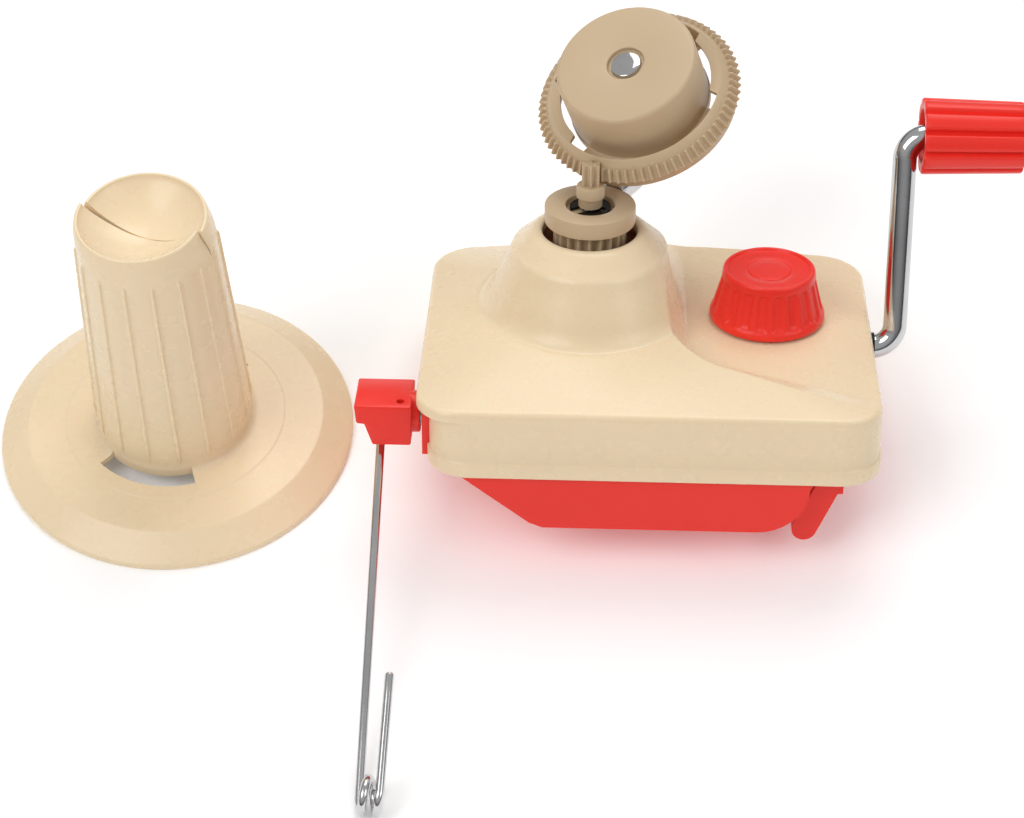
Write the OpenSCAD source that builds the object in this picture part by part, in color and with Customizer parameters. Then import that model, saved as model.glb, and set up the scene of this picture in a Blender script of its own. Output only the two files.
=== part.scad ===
// Hand-cranked yarn ball winder with its removable cone beside it.
// The winder is drawn upright on its own axes and then laid back on the table,
// where it rests on the rear lip of the cover and the rear edge of the base tub.

/* [Body] */
// Distance from the rotor shaft to the left end of the cover
body_left = 46.5; // [42:0.5:60]
// Distance from the rotor shaft to the right end of the cover
body_right = 87.2; // [80:0.2:110]
// Distance from the rotor shaft to the front of the cover
body_front = 61; // [54:0.5:75]
// Distance from the rotor shaft to the rear of the cover
body_back = 50; // [46:0.5:64]
// Height of the cover's side above its bottom edge
side_height = 21.5; // [19:0.5:30]
// Height of the flat deck that carries the clamp knob
deck_height = 21; // [19.6:0.2:28]
// Height of the hump's round mouth
hump_height = 51.5; // [49.5:0.5:53]
// Thickness of the cover's wall
cover_wall = 2.2; // [1.6:0.1:3]
// Radius of the mouth that the rotor turns in
mouth_radius = 14.3; // [13.9:0.1:16]
// How far the roof hangs out past the left side wall
roof_overhang = 3.8; // [2:0.2:6]

/* [Base] */
// Depth of the base tub below the cover
tub_depth = 17.5; // [16:0.5:24]
// Distance that the tub's level bottom stops in front of the rotor shaft
tub_rest = 3; // [1:0.5:8]
// Distance from the rotor shaft back to the tub's rear wall
tub_rear = 18; // [17:0.5:22]
// Wall of the base housing
base_wall = 2.2; // [1.6:0.1:3]
// Thickness of the base plate
plate_thickness = 2.6; // [2:0.1:4]

/* [Drive] */
// Module of the rotor pinion and the drive gear
drive_module = 1; // [0.8:0.05:1.1]
// Teeth on the rotor pinion
rotor_teeth = 20; // [18:1:22]
// Teeth on the drive gear
drive_teeth = 44; // [38:2:46]
// Height of the crank axis above the cover's bottom edge
crank_height = 15.2; // [13:0.2:15.4]
// How far the crank axis passes in front of the rotor shaft
crank_front = 4.5; // [0:0.5:5]
// Diameter of the crank rod
crank_rod_d = 7.2; // [6:0.2:7.4]
// Distance from the crank axis to the grip's axis
crank_radius = 65.7; // [50:1:80]
// How far the crank leans back from upright in degrees
crank_angle = 13; // [0:1:45]

/* [Rotor] */
// Diameter of the fixed steel shaft
shaft_d = 5; // [4:0.2:6]
// Height of the collar's top face
collar_height = 59.6; // [58.8:0.2:63]
// Radius of the collar
collar_radius = 13.7; // [13:0.1:13.9]
// Thickness of the collar
collar_thickness = 5.4; // [5:0.2:7]
// Diameter of the bent arm
arm_d = 7.8; // [6:0.2:8.4]

/* [Tilted wheel] */
// Tilt of the wheel's axis from the shaft in degrees
wheel_tilt = 32; // [28:1:35]
// Direction of the arm round the shaft in degrees
arm_direction = 61; // [0:1:359]
// Module of the small teeth
wheel_module = 0.78; // [0.74:0.02:0.84]
// Teeth on the tilted wheel
wheel_teeth = 76; // [72:1:80]
// Teeth on the fixed top pinion
pinion_teeth = 6; // [6:1:7]
// Radius of the drum that the cone slides over
drum_radius = 21.4; // [20:0.1:21.6]
// Height of the drum's face above the middle of the teeth
drum_rise = 15.2; // [12:0.2:20]
// Diameter of the axle in the wheel
axle_d = 9; // [7:0.5:10]

/* [Cone] */
// Radius of the cone's flange
flange_radius = 55; // [50:1:65]
// Height of the cone
cone_height = 95; // [80:1:120]
// Radius of the barrel at its foot
barrel_foot = 24; // [23.6:0.1:26]
// Radius of the barrel at its top
barrel_top = 18.6; // [17:0.1:21]
// Wall of the cone
cone_wall = 1.8; // [1.4:0.1:2.2]
// Place of the cone left of the rotor shaft
cone_left = 128; // [124:1:160]
// Place of the cone in front of the rotor shaft
cone_front = 13; // [-20:1:30]

/* [Clamp] */
// Distance from the rotor shaft to the clamp screw
knob_right = 54.8; // [50:0.2:60]
// Radius of the knob at its foot
knob_radius = 17.6; // [15:0.2:19]
// Height of the knob
knob_height = 16.2; // [12:0.2:22]
// Diameter of the clamp screw
screw_d = 5.5; // [4.5:0.5:5.5]

/* [Guide] */
// Diameter of the guide wire
wire_d = 2.6; // [2.2:0.1:3.2]
// Length of the guide wire from its block to the eye
wire_length = 122.3; // [90:1:130]
// Inside diameter of the pigtail eye
eye_d = 6.6; // [5:0.2:9]

/* [Fits] */
// Gap round a running shaft, on the radius
run_gap = 0.05; // [0.03:0.01:0.1]
// Gap between parts that slide or pass each other
slide_gap = 0.4; // [0.3:0.05:0.6]

/* [Hidden] */
$fn = 64;

cream = [0.93, 0.84, 0.69];
red = [0.87, 0.16, 0.14];
taupe = [0.70, 0.62, 0.51];
steel = [0.78, 0.78, 0.8];
black = [0.1, 0.1, 0.11];
ivory = [0.9, 0.88, 0.82];

lean = atan(tub_depth / (body_back + tub_rest));
lift = body_back * sin(lean);
// Height of the table under a point of the winder, on the winder's own axes
function floor_z(y) = -(body_back - y) * tan(lean);

function vnorm(v) = v / norm(v);
function clamp01(t) = min(1, max(0, t));
function ease(t) = let (c = clamp01(t)) c * c * (3 - 2 * c);
function lerp(a, b, t) = a + (b - a) * t;
function soft_max(a, b, k) =
    let (h = clamp01(0.5 + 0.5 * (a - b) / k)) lerp(b, a, h) + k * h * (1 - h) / 2;

// Places a winder piece on the table
module on_table() {
    translate([0, 0, lift])
        rotate([-lean, 0, 0])
            children();
}

// Cylinder along X from x0 to x1 at the given y and z
module rod_x(x0, x1, y, z, r) {
    translate([x0, y, z])
        rotate([0, 90, 0])
            cylinder(h = x1 - x0, r = r);
}

// Flat shape drawn in X and Z, run along Y
module along_y(y0, y1) {
    translate([0, y1, 0])
        rotate([90, 0, 0])
            linear_extrude(height = y1 - y0)
                children();
}

// Flat shape drawn in Y and Z, run along X
module along_x(x0, x1) {
    translate([x0, 0, 0])
        rotate([90, 0, 90])
            linear_extrude(height = x1 - x0)
                children();
}

// Cylinder along X with a through bore
module ring_x(x0, x1, y, z, r_out, r_in) {
    difference() {
        rod_x(x0, x1, y, z, r_out);
        rod_x(x0 - 1, x1 + 1, y, z, r_in);
    }
}

// Upright ring
module ring_z(z0, z1, r_out, r_in) {
    translate([0, 0, z0])
        difference() {
            cylinder(h = z1 - z0, r = r_out);
            translate([0, 0, -1])
                cylinder(h = z1 - z0 + 2, r = r_in);
        }
}

// Plan of the body: straight front and ends, bowed rear, four round corners
front_corner = 13;
rear_corner = 15;
rear_bow = 5;
corner_steps = 7;

function corner(cx, cy, r, a0) =
    [for (i = [0:corner_steps]) [cx + r * cos(a0 + 90 * i / corner_steps),
                                 cy + r * sin(a0 + 90 * i / corner_steps)]];
function between(p, q, n) = [for (i = [1:n - 1]) lerp(p, q, i / n)];
function bowed(p, q, n, bow) =
    [for (i = [1:n - 1]) let (u = 2 * i / n - 1) lerp(p, q, i / n) + [0, bow * (1 - u * u)]];

function body_plan(inset, left_out = 0) =
    let (x0 = -body_left - left_out + inset, x1 = body_right - inset,
         y0 = -body_front + inset, y1 = body_back - rear_bow - inset,
         rf = front_corner - inset, rr = rear_corner - inset,
         fl = corner(x0 + rf, y0 + rf, rf, 180), fr = corner(x1 - rf, y0 + rf, rf, 270),
         br = corner(x1 - rr, y1 - rr, rr, 0), bl = corner(x0 + rr, y1 - rr, rr, 90))
    concat(fl, between(fl[corner_steps], fr[0], 10), fr, between(fr[corner_steps], br[0], 7),
           br, bowed(br[corner_steps], bl[0], 12, rear_bow), bl, between(bl[corner_steps], fl[0], 7));

// Height of the roof along a spoke from the shaft to the edge
hump_foot = 30;
roof_foot_height = 28;
step_x = 27;
step_corner = 13;

function hump_profile(r) =
    let (top = hump_height,
         shoulder = ease((r - 15.5) / 10) * 6.5,
         flank = max(0, r - 23.5) * 2.1)
    top - shoulder - flank;

// How far a point has come down the riser to the deck, which cuts off the hump's right flank
riser_start = 3.6;
riser_run = 7.2;
function riser(t) = let (c = clamp01(t)) 1 - pow(1 - c, 1.6) * (1 + 0.6 * c);

function step_side(x, y) =
    let (a = x - step_x, b = (y + 30 + 0.42 * (x - step_x - 8)) * 0.92)
    (a < step_corner && b < step_corner)
        ? step_corner - norm([step_corner - a, step_corner - b])
        : min(a, b);

function roof_height(x, y, r, r_edge) =
    let (s = clamp01((r - hump_foot) / max(1, r_edge - hump_foot)),
         hill = lerp(roof_foot_height, side_height, pow(s, 0.9)),
         deck = riser((step_side(x, y) + riser_start) / riser_run))
    lerp(soft_max(hump_profile(r), hill, 5), deck_height, deck);

// One spoke of the cover: the outer skin from the mouth to the lip, then the inner skin back
mouth_rings = [0, 1.2, 3, 5, 6.6, 8, 9.2, 10.4, 11.6, 13, 15, 18, 21.5];
roof_rings = [0.22, 0.45, 0.68, 0.88, 0.97];
ledge_height = 5;
ledge_out = 0.7;
edge_round = 1.6;
overhang_drop = 3.2;

function skin(d, r, r_edge) = [r, roof_height(d[0] * r, d[1] * r, r, r_edge)];
function skin_slope(d, r, r_edge) =
    (skin(d, r + 0.3, r_edge)[1] - skin(d, r - 0.3, r_edge)[1]) / 0.6;
function inner_skin(d, r, r_edge) =
    let (p = skin(d, r, r_edge), g = skin_slope(d, r, r_edge), w = cover_wall / norm([1, g]))
    [p[0] + g * w, p[1] - w];
function spoke_point(d, p) = [d[0] * p[0], d[1] * p[0], p[1]];

function cover_spoke(roof, side, lip, inner) =
    let (d = vnorm(roof), e = norm(roof),
         radii = concat([for (m = mouth_rings) mouth_radius + m],
                        [for (t = roof_rings) lerp(mouth_radius + 21.5, e, t)]),
         inner_radii = [for (i = [len(radii) - 2:-2:2]) radii[i]],
         edge_z = skin(d, e, e)[1])
    concat([for (r = radii) spoke_point(d, skin(d, r, e))],
           [[roof[0] * (1 - 0.4 / e), roof[1] * (1 - 0.4 / e), edge_z - edge_round * 0.35],
            [roof[0], roof[1], edge_z - edge_round],
            [roof[0], roof[1], edge_z - overhang_drop],
            [side[0], side[1], edge_z - overhang_drop - 0.5],
            [side[0], side[1], ledge_height],
            [lip[0], lip[1], ledge_height - ledge_out],
            [lip[0], lip[1], 0],
            [inner[0], inner[1], 0],
            [inner[0], inner[1], edge_z - cover_wall - 1.5]],
           [for (r = inner_radii) spoke_point(d, inner_skin(d, min(r, e - 6), e))],
           [[d[0] * mouth_radius, d[1] * mouth_radius, hump_height - cover_wall - 0.6]]);

// Closes a list of rings, one per spoke, into a solid
function grid_faces(n, m) =
    [for (i = [0:n - 1], j = [0:m - 1])
        let (a = i * m + j, b = ((i + 1) % n) * m + j,
             c = ((i + 1) % n) * m + (j + 1) % m, d = i * m + (j + 1) % m)
        each [[a, b, c], [a, c, d]]];

module cover_shell() {
    roof = body_plan(ledge_out, roof_overhang);
    side = body_plan(ledge_out);
    lip = body_plan(0);
    inner = body_plan(cover_wall + ledge_out);
    spokes = [for (i = [0:len(lip) - 1]) cover_spoke(roof[i], side[i], lip[i], inner[i])];
    polyhedron(points = [for (s = spokes) each s], faces = grid_faces(len(lip), len(spokes[0])),
               convexity = 6);
}

knob_y = 2.4;
crank_y = -crank_front;
bush_radius = 4.3;
guide_y = -42;
guide_z = 11.2;
guide_pin_r = 1.5;
lug_left = body_left + 1.5;
lug_half = 7;
lug_top = 15.2;
screw_places = [[-38, 28], [80, 28], [80, -46], [-31, -51]];
boss_radius = 3.4;
function boss_height(p) = (p[0] > 0 ? deck_height - 1 : side_height + 0.7) - plate_thickness - 0.2;

module cover() {
    color(cream)
        on_table()
            difference() {
                union() {
                    cover_shell();
                    for (p = screw_places)
                        translate([p[0], p[1], plate_thickness + 0.2])
                            cylinder(h = boss_height(p), r = boss_radius);
                }
                translate([knob_right, knob_y, 0])
                    cylinder(h = 40, r = screw_d / 2 + slide_gap);
                rod_x(20, body_right - 2, crank_y, crank_height, crank_rod_d / 2 + slide_gap);
                rod_x(body_right - 8, body_right + 2, crank_y, crank_height, bush_radius + 0.1);
                translate([body_right - 8, crank_y - bush_radius - 0.1, -1])
                    cube([10, 2 * bush_radius + 0.2, crank_height + 1]);
                translate([-body_left - 2, guide_y - lug_half - slide_gap, -1])
                    cube([9, 2 * (lug_half + slide_gap), lug_top + slide_gap + 1]);
                for (p = screw_places)
                    translate([p[0], p[1], -1])
                        cylinder(h = 15, r = 1.2);
            }
}

// Base housing: plate inside the lip, tub in front, round sump under the drive gear
tub_left_top = -36.6;
tub_left_low = -12;
tub_right_low = 51;
tub_right_top = 67.4;
tub_corner = 15;
tub_front = -body_front + ledge_out + 0.8;
plate_inset = cover_wall + ledge_out + 0.3;
notch_left = 39.9;
notch_front = -tub_rest - 2.6;
jaw_left = 40.5;
jaw_right = 68.6;
jaw_tip = 36;
jaw_tube = 5.2;
crown_height = drive_module * drive_teeth / 2;
crown_half = 1.8;
post_radius = 6.8;
post_top = 32;
web_left = 19.4;
web_right = 24;

module tub_profile(inset) {
    r = tub_corner - inset;
    polygon(concat(
        [[tub_left_top + inset * 1.8, 2], [tub_left_top + inset * 1.8, 0],
         [tub_left_low - 4 + inset * 1.1, -tub_depth + 1.6 + inset],
         [tub_left_low + inset * 0.6, -tub_depth + inset]],
        [for (a = [0:10:90]) [tub_right_low + r * sin(a), -tub_depth + inset + r * (1 - cos(a))]],
        [[tub_right_top - inset, 0], [tub_right_top - inset, 2]]));
}

// Side outline of the tub: level bottom, then a facet that lies flat on the table
module tub_side(inset) {
    up = inset / cos(lean);
    front = tub_front + 1.5 * inset;
    polygon([[front, 0], [front, -tub_depth + inset],
        [-tub_rest - (up - inset) / tan(lean), -tub_depth + inset],
        [tub_rear - inset, floor_z(tub_rear - inset) + up], [tub_rear - inset, 0.5],
        [tub_front + 3.4, 0.5], [tub_front + 3.4, 0]]);
}

module tub_solid(inset) {
    intersection() {
        along_y(-body_front, body_back)
            tub_profile(inset);
        along_x(-60, 90)
            tub_side(inset);
    }
}

module base_housing() {
    color(red)
        on_table()
            difference() {
                union() {
                    difference() {
                        union() {
                            linear_extrude(height = plate_thickness)
                                polygon(body_plan(plate_inset));
                            tub_solid(0);
                        }
                        difference() {
                            union() {
                                tub_solid(base_wall);
                                translate([-29, tub_front + base_wall, -0.1])
                                    cube([notch_left - base_wall + 29,
                                        tub_rear - 2 * base_wall - tub_front, 4]);
                                translate([0, tub_front + base_wall, -0.1])
                                    cube([62, notch_front - 2 * base_wall - tub_front, 4]);
                            }
                            translate([notch_left - base_wall, notch_front - base_wall, -40])
                                cube([60, 60, 60]);
                        }
                    }
                    // post of the rotor shaft with its rib, and the crank's bearing web
                    intersection() {
                        union() {
                            translate([0, 0, -tub_depth - 1])
                                cylinder(h = post_top + tub_depth + 1, r = post_radius);
                            translate([-1.2, tub_front + 1.3, -tub_depth - 1])
                                cube([2.4, -tub_front, tub_depth + 0.8]);
                            translate([web_left, crank_y - 9, -tub_depth - 1])
                                cube([web_right - web_left, 18, crank_height + tub_depth + 1]);
                        }
                        union() {
                            tub_solid(0.8);
                            translate([-30, -70, -1.4])
                                cube([80, 100, 50]);
                        }
                    }
                    rod_x(web_left, web_right, crank_y, crank_height, 9);
                    translate([body_right - plate_inset - 4, crank_y - 8, 0])
                        cube([4, 16, crank_height]);
                    translate([-lug_left, guide_y - lug_half, 0.6])
                        cube([lug_left - body_left + plate_inset + 4, 2 * lug_half, lug_top - 0.6]);
                    translate([knob_right, knob_y, 0])
                        cylinder(h = 6, r = jaw_tube + slide_gap + 2);
                }
                translate([notch_left, notch_front, -40])
                    cube([60, 60, 40]);
                translate([crown_plane - 2, crank_y, -0.1])
                    cube([crown_back - crown_plane + 3, crown_outer - 2, plate_thickness + 1]);
                rod_x(web_left - 1, web_right + 1, crank_y, crank_height, crank_rod_d / 2 + run_gap);
                rod_x(body_right - 12, body_right + 2, crank_y, crank_height, bush_radius + 0.02);
                translate([knob_right, knob_y, -30])
                    cylinder(h = 60, r = jaw_tube + slide_gap);
                translate([0, 0, 4])
                    cylinder(h = 40, r = shaft_d / 2);
                rod_x(-body_left - 4, -body_left + plate_inset + 2, guide_y, guide_z, guide_pin_r);
                for (p = screw_places)
                    translate([p[0], p[1], -1]) {
                        cylinder(h = 10, r = 1.7);
                        cylinder(h = 2.2, r = 3.2);
                    }
            }
}

module cover_screws() {
    color(steel)
        on_table()
            for (p = screw_places)
                translate([p[0], p[1], 0.2]) {
                    cylinder(h = 1, r = 2.9);
                    cylinder(h = 10, r = 1.2);
                }
}

// Fixed shaft, rotor and its clip
clip_z = 58.1;
clip_thickness = 0.8;
shaft_top = 64;
recess_depth = 1.9;
recess_radius = 7.4;
washer_thickness = 0.8;

module fixed_shaft() {
    color(steel)
        on_table()
            difference() {
                translate([0, 0, 4])
                    cylinder(h = shaft_top - 4, r = shaft_d / 2);
                ring_z(clip_z, clip_z + clip_thickness, shaft_d, shaft_d / 2 - 0.5);
            }
}

module rotor_washer() {
    color(steel)
        on_table()
            ring_z(post_top, post_top + washer_thickness, 6, shaft_d / 2 + 0.05);
}

// Plan of a straight spur gear: each tooth a trapezoid with rounded flanks
function spur_points(teeth, m, add, ded, thick) =
    let (rp = m * teeth / 2, half = thick * 90 / teeth)
    [for (i = [0:teeth - 1])
        let (a = i * 360 / teeth, ra = rp + add * m, rd = rp - ded * m)
        each [for (q = [[rd, -half * 1.62], [rp - 0.45 * ded * m, -half * 1.28], [rp, -half],
                        [rp + 0.6 * add * m, -half * 0.72], [ra, -half * 0.42],
                        [ra, half * 0.42], [rp + 0.6 * add * m, half * 0.72], [rp, half],
                        [rp - 0.45 * ded * m, half * 1.28], [rd, half * 1.62]])
            [q[0] * cos(a + q[1]), q[0] * sin(a + q[1])]]];

rotor_bottom = post_top + washer_thickness + 0.1;
tab_inner = 8.8;
tab_half = 3.6;
tab_low = 55;
tab_high = 59.2;

module rotor() {
    color(taupe)
        on_table()
            difference() {
                union() {
                    translate([0, 0, rotor_bottom])
                        linear_extrude(height = collar_height - collar_thickness - rotor_bottom)
                            polygon(spur_points(rotor_teeth, drive_module, 1, 1.25, 0.8));
                    translate([0, 0, collar_height - collar_thickness])
                        cylinder(h = collar_thickness, r = collar_radius);
                }
                translate([0, 0, rotor_bottom - 1])
                    cylinder(h = 60, r = shaft_d / 2 + run_gap);
                translate([0, 0, collar_height - recess_depth])
                    cylinder(h = 10, r = recess_radius);
                rotate([0, 0, arm_direction])
                    translate([tab_inner, -tab_half, tab_low])
                        cube([20, 2 * tab_half, tab_high - tab_low]);
            }
}

module e_clip() {
    color(black)
        on_table()
            difference() {
                ring_z(clip_z + 0.05, clip_z + clip_thickness - 0.05, 6.2, shaft_d / 2 - 0.45);
                rotate([0, 0, 215])
                    translate([0, -1.9, clip_z - 1])
                        cube([10, 3.8, 4]);
                for (a = [95, 335])
                    rotate([0, 0, a])
                        translate([3.9, 0, clip_z - 1])
                            cylinder(h = 4, r = 1.15);
            }
}

pinion_low = 66;
pinion_high = 72.9;
pinion_flange = 4.2;
pinion_neck = 3.6;

module top_pinion() {
    color(taupe)
        on_table()
            difference() {
                union() {
                    translate([0, 0, clip_z + clip_thickness + 0.3])
                        cylinder(h = 6, r = pinion_neck);
                    translate([0, 0, 62.2])
                        cylinder(h = pinion_low - 62.2, r = pinion_flange);
                    translate([0, 0, pinion_low - 0.1])
                        linear_extrude(height = pinion_high - pinion_low + 0.1)
                            rotate([0, 0, arm_direction + 180 / pinion_teeth])
                                polygon(spur_points(pinion_teeth, wheel_module, 0.8, 1.15, 0.7));
                }
                translate([0, 0, 50])
                    cylinder(h = shaft_top - 50, r = shaft_d / 2);
            }
}

// Frame of the tilted wheel: origin at the middle of its teeth, +Z along its axle
wheel_pitch_r = wheel_module * wheel_teeth / 2;
pinion_pitch_r = wheel_module * pinion_teeth / 2;
mesh_gap = 0.12;
mesh_height = (pinion_low + pinion_high) / 2;
wheel_out = pinion_pitch_r + mesh_gap + wheel_pitch_r * cos(wheel_tilt);
wheel_up = mesh_height + wheel_pitch_r * sin(wheel_tilt);

module at_wheel() {
    on_table()
        rotate([0, 0, arm_direction])
            translate([wheel_out, 0, wheel_up])
                rotate([0, -wheel_tilt, 0])
                    children();
}

tooth_half = 3;
rim_back = -6.6;
rim_back_radius = 29.7;
floor_low = -5.2;
floor_high = -3.4;
rim_inner = 26;
rim_top = 3;
tab_reach = 2.6;
tab_span = 55;
tab_turn = 128;
hub_radius = 7.6;

// Tooth on the conical band, parallel to the fixed pinion where the two meet
module wheel_tooth() {
    add = 0.85 * wheel_module;
    ded = 1.05 * wheel_module;
    half = 0.42 * wheel_module * 1.571;
    translate([wheel_pitch_r, 0, 0])
        rotate([0, -wheel_tilt, 0])
            translate([0, 0, -tooth_half + 0.2])
                linear_extrude(height = 2 * tooth_half - 0.4)
                    polygon([[-ded - 0.4, -half * 1.5], [-ded * 0.45, -half * 1.25], [0, -half],
                        [add * 0.6, -half * 0.72], [add, -half * 0.45], [add, half * 0.45],
                        [add * 0.6, half * 0.72], [0, half], [-ded * 0.45, half * 1.25],
                        [-ded - 0.4, half * 1.5]]);
}

module wheel() {
    bottom_s = -tooth_half * cos(wheel_tilt);
    top_s = tooth_half * cos(wheel_tilt);
    root = wheel_pitch_r - 1.05 * wheel_module / cos(wheel_tilt);
    band_low = root + tooth_half * sin(wheel_tilt);
    band_high = root - tooth_half * sin(wheel_tilt);
    color(taupe)
        at_wheel()
            difference() {
                union() {
                    for (i = [0:wheel_teeth - 1])
                        rotate([0, 0, 180 + 360 * i / wheel_teeth])
                            wheel_tooth();
                    // rim, floor, drum and hub as one turned form
                    rotate_extrude($fn = 96)
                        polygon([[axle_d / 2 + run_gap, rim_back + 0.4], [hub_radius, rim_back + 0.4],
                            [hub_radius, floor_low], [rim_inner, floor_low], [rim_inner + 0.6, rim_back],
                            [rim_back_radius - 0.5, rim_back], [rim_back_radius, rim_back + 0.5],
                            [rim_back_radius, bottom_s], [band_low, bottom_s], [band_high, top_s],
                            [band_high - 0.3, rim_top - 0.2], [band_high - 0.6, rim_top],
                            [rim_inner, rim_top], [rim_inner, floor_high], [drum_radius, floor_high],
                            [drum_radius, drum_rise - 0.8], [drum_radius - 0.8, drum_rise],
                            [axle_d / 2 + 1.2, drum_rise], [axle_d / 2 + 1.2, drum_rise - 1.4],
                            [axle_d / 2 + run_gap, drum_rise - 1.4]]);
                    // lugs that hold the cone's flange down
                    for (a = [tab_turn, tab_turn + 180])
                        rotate([0, 0, a - tab_span / 2])
                            rotate_extrude(angle = tab_span, $fn = 96)
                                translate([rim_inner - tab_reach, rim_top - 1.4])
                                    square([tab_reach + 0.4, 1.4]);
                }
                // inside of the drum, open at the back
                rotate_extrude($fn = 96)
                    polygon([[hub_radius, rim_back - 1], [drum_radius - 2, rim_back - 1],
                        [drum_radius - 2, drum_rise - 2.2], [hub_radius, drum_rise - 2.2]]);
                // windows under the lugs
                for (a = [tab_turn, tab_turn + 180])
                    rotate([0, 0, a - tab_span / 2 - 3])
                        translate([0, 0, rim_back - 1])
                            rotate_extrude(angle = tab_span + 6, $fn = 96)
                                translate([drum_radius + 0.3, 0])
                                    square([rim_inner - drum_radius - 0.7, 4.4]);
            }
}

// Bent arm: flat tongue in the collar, level run, elbow and the wheel's axle
arm_level = 57;
bend_radius = 12;
shoulder_s = rim_back - 1;
arm_end_z = arm_level + bend_radius * (1 + sin(wheel_tilt));
arm_end_r = wheel_out + (wheel_up - arm_end_z) * tan(wheel_tilt);
arm_bend_r = arm_end_r - bend_radius * cos(wheel_tilt);

module spindle_arm() {
    color(steel) {
        on_table()
            rotate([0, 0, arm_direction]) {
                translate([tab_inner + 0.1, -tab_half + 0.1, tab_low + 0.1])
                    cube([10, 2 * tab_half - 0.2, tab_high - tab_low - 0.2]);
                rod_x(collar_radius + 0.4, arm_bend_r + 0.4, 0, arm_level, arm_d / 2);
                translate([arm_bend_r, 0, arm_level + bend_radius])
                    rotate([90, 0, 0])
                        rotate([0, 0, -90])
                            rotate_extrude(angle = 90 + wheel_tilt)
                                translate([bend_radius, 0])
                                    circle(r = arm_d / 2 - 0.03);
            }
        at_wheel() {
            translate([0, 0, -(wheel_up - arm_end_z) / cos(wheel_tilt) - 0.4])
                cylinder(h = (wheel_up - arm_end_z) / cos(wheel_tilt) + shoulder_s + 0.4, r = arm_d / 2);
            translate([0, 0, shoulder_s - 0.1])
                cylinder(h = drum_rise - shoulder_s - 0.2, r = axle_d / 2);
        }
    }
}

module wheel_washer() {
    color(black)
        at_wheel()
            ring_z(rim_back - 0.6, rim_back + 0.3, 6.6, axle_d / 2 + 0.02);
}

// Drive gear: disc with face teeth that reach into the rotor pinion. The crank axis passes in
// front of the rotor shaft, so each tooth stands beside a spoke and not on it.
crown_plane = drive_module * rotor_teeth / 2;
crown_root = crown_plane + 1.35;
crown_back = crown_root + 2.6;
crown_outer = norm([crown_height + crown_half, crank_front]) + 0.3;
crown_inner = norm([crown_height - crown_half, crank_front]) - 1.8;
gear_hub = 7;
gear_pin_x = crown_back + 2.5;

module at_crank() {
    on_table()
        translate([0, crank_y, crank_height])
            children();
}

module crown_tooth() {
    translate([0, crank_front, crown_height - crown_half])
        linear_extrude(height = 2 * crown_half)
            polygon([[crown_plane - 0.8, -0.26], [crown_plane, -0.4], [crown_root + 0.3, -0.78],
                [crown_root + 0.3, 0.78], [crown_plane, 0.4], [crown_plane - 0.8, 0.26]]);
}

module drive_gear() {
    color(ivory)
        at_crank()
            difference() {
                union() {
                    for (i = [0:drive_teeth - 1])
                        rotate([360 * (i + 0.5) / drive_teeth, 0, 0])
                            crown_tooth();
                    ring_x(crown_root, crown_back, 0, 0, crown_outer, crown_inner);
                    rod_x(crown_root + 0.8, crown_back - 0.6, 0, 0, crown_inner + 0.5);
                    rod_x(crown_root, crown_back + 5, 0, 0, gear_hub);
                }
                rod_x(0, 40, 0, 0, crank_rod_d / 2 + 0.02);
                for (a = [0:60:300])
                    rotate([a, 0, 0])
                        translate([0, 0, (gear_hub + crown_inner) / 2])
                            rod_x(0, 40, 0, 0, 3.8);
                translate([gear_pin_x, 20, 0])
                    rotate([90, 0, 0])
                        cylinder(h = 40, r = 1);
            }
}

module gear_pin() {
    color(steel)
        at_crank()
            translate([gear_pin_x, gear_hub - 0.3, 0])
                rotate([90, 0, 0])
                    cylinder(h = 2 * gear_hub - 0.6, r = 1);
}

// Crank: rod along X, elbow, arm, elbow and the grip's journal
crank_out = body_right + 6.4;
crank_bend = 7;
grip_length = 30;
grip_start = crank_out + 4.6;
// Straight runs reach a little way into the bends, which are a hair thinner
bend_overlap = 0.4;
bend_relief = 0.08;

// Quarter bend in X and Z about the origin, from one angle
module rod_bend(from, r) {
    rotate([90, 0, 0])
        rotate([0, 0, from])
            rotate_extrude(angle = 90)
                translate([crank_bend, 0])
                    circle(r = r);
}

module crank_rod() {
    r = crank_rod_d / 2;
    color(steel)
        at_crank()
            difference() {
                union() {
                    rod_x(crown_root + 0.2, crank_out - crank_bend + bend_overlap, 0, 0, r);
                    rotate([-crank_angle, 0, 0]) {
                        translate([crank_out - crank_bend, 0, crank_bend])
                            rod_bend(-90, r - bend_relief);
                        translate([crank_out, 0, crank_bend - bend_overlap])
                            cylinder(h = crank_radius - 2 * (crank_bend - bend_overlap), r = r);
                        translate([crank_out + crank_bend, 0, crank_radius - crank_bend])
                            rod_bend(90, r - bend_relief);
                        rod_x(crank_out + crank_bend - bend_overlap, grip_start + grip_length - 3.5,
                              0, crank_radius, r);
                    }
                }
                translate([gear_pin_x, 20, 0])
                    rotate([90, 0, 0])
                        cylinder(h = 40, r = 1);
                rotate([-crank_angle, 0, 0])
                    ring_x(cap_x - 0.05, cap_x + 1.05, 0, crank_radius, r + 1, r - 0.6);
            }
}

module crank_bush() {
    color(black)
        on_table()
            ring_x(body_right - 7.4, body_right + 0.2, crank_y, crank_height,
                   bush_radius, crank_rod_d / 2 + run_gap);
}

module crank_collar() {
    color(steel)
        on_table()
            ring_x(web_right + 0.3, web_right + 2.7, crank_y, crank_height, 5.2, crank_rod_d / 2 + 0.02);
}

// Fluted grip that spins on the crank's end
grip_radius = 11.4;
grip_lobes = 10;
cap_x = grip_start + grip_length - 5.6;

module at_grip() {
    at_crank()
        rotate([-crank_angle, 0, 0])
            translate([grip_start, 0, crank_radius])
                rotate([0, 90, 0])
                    children();
}

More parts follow.
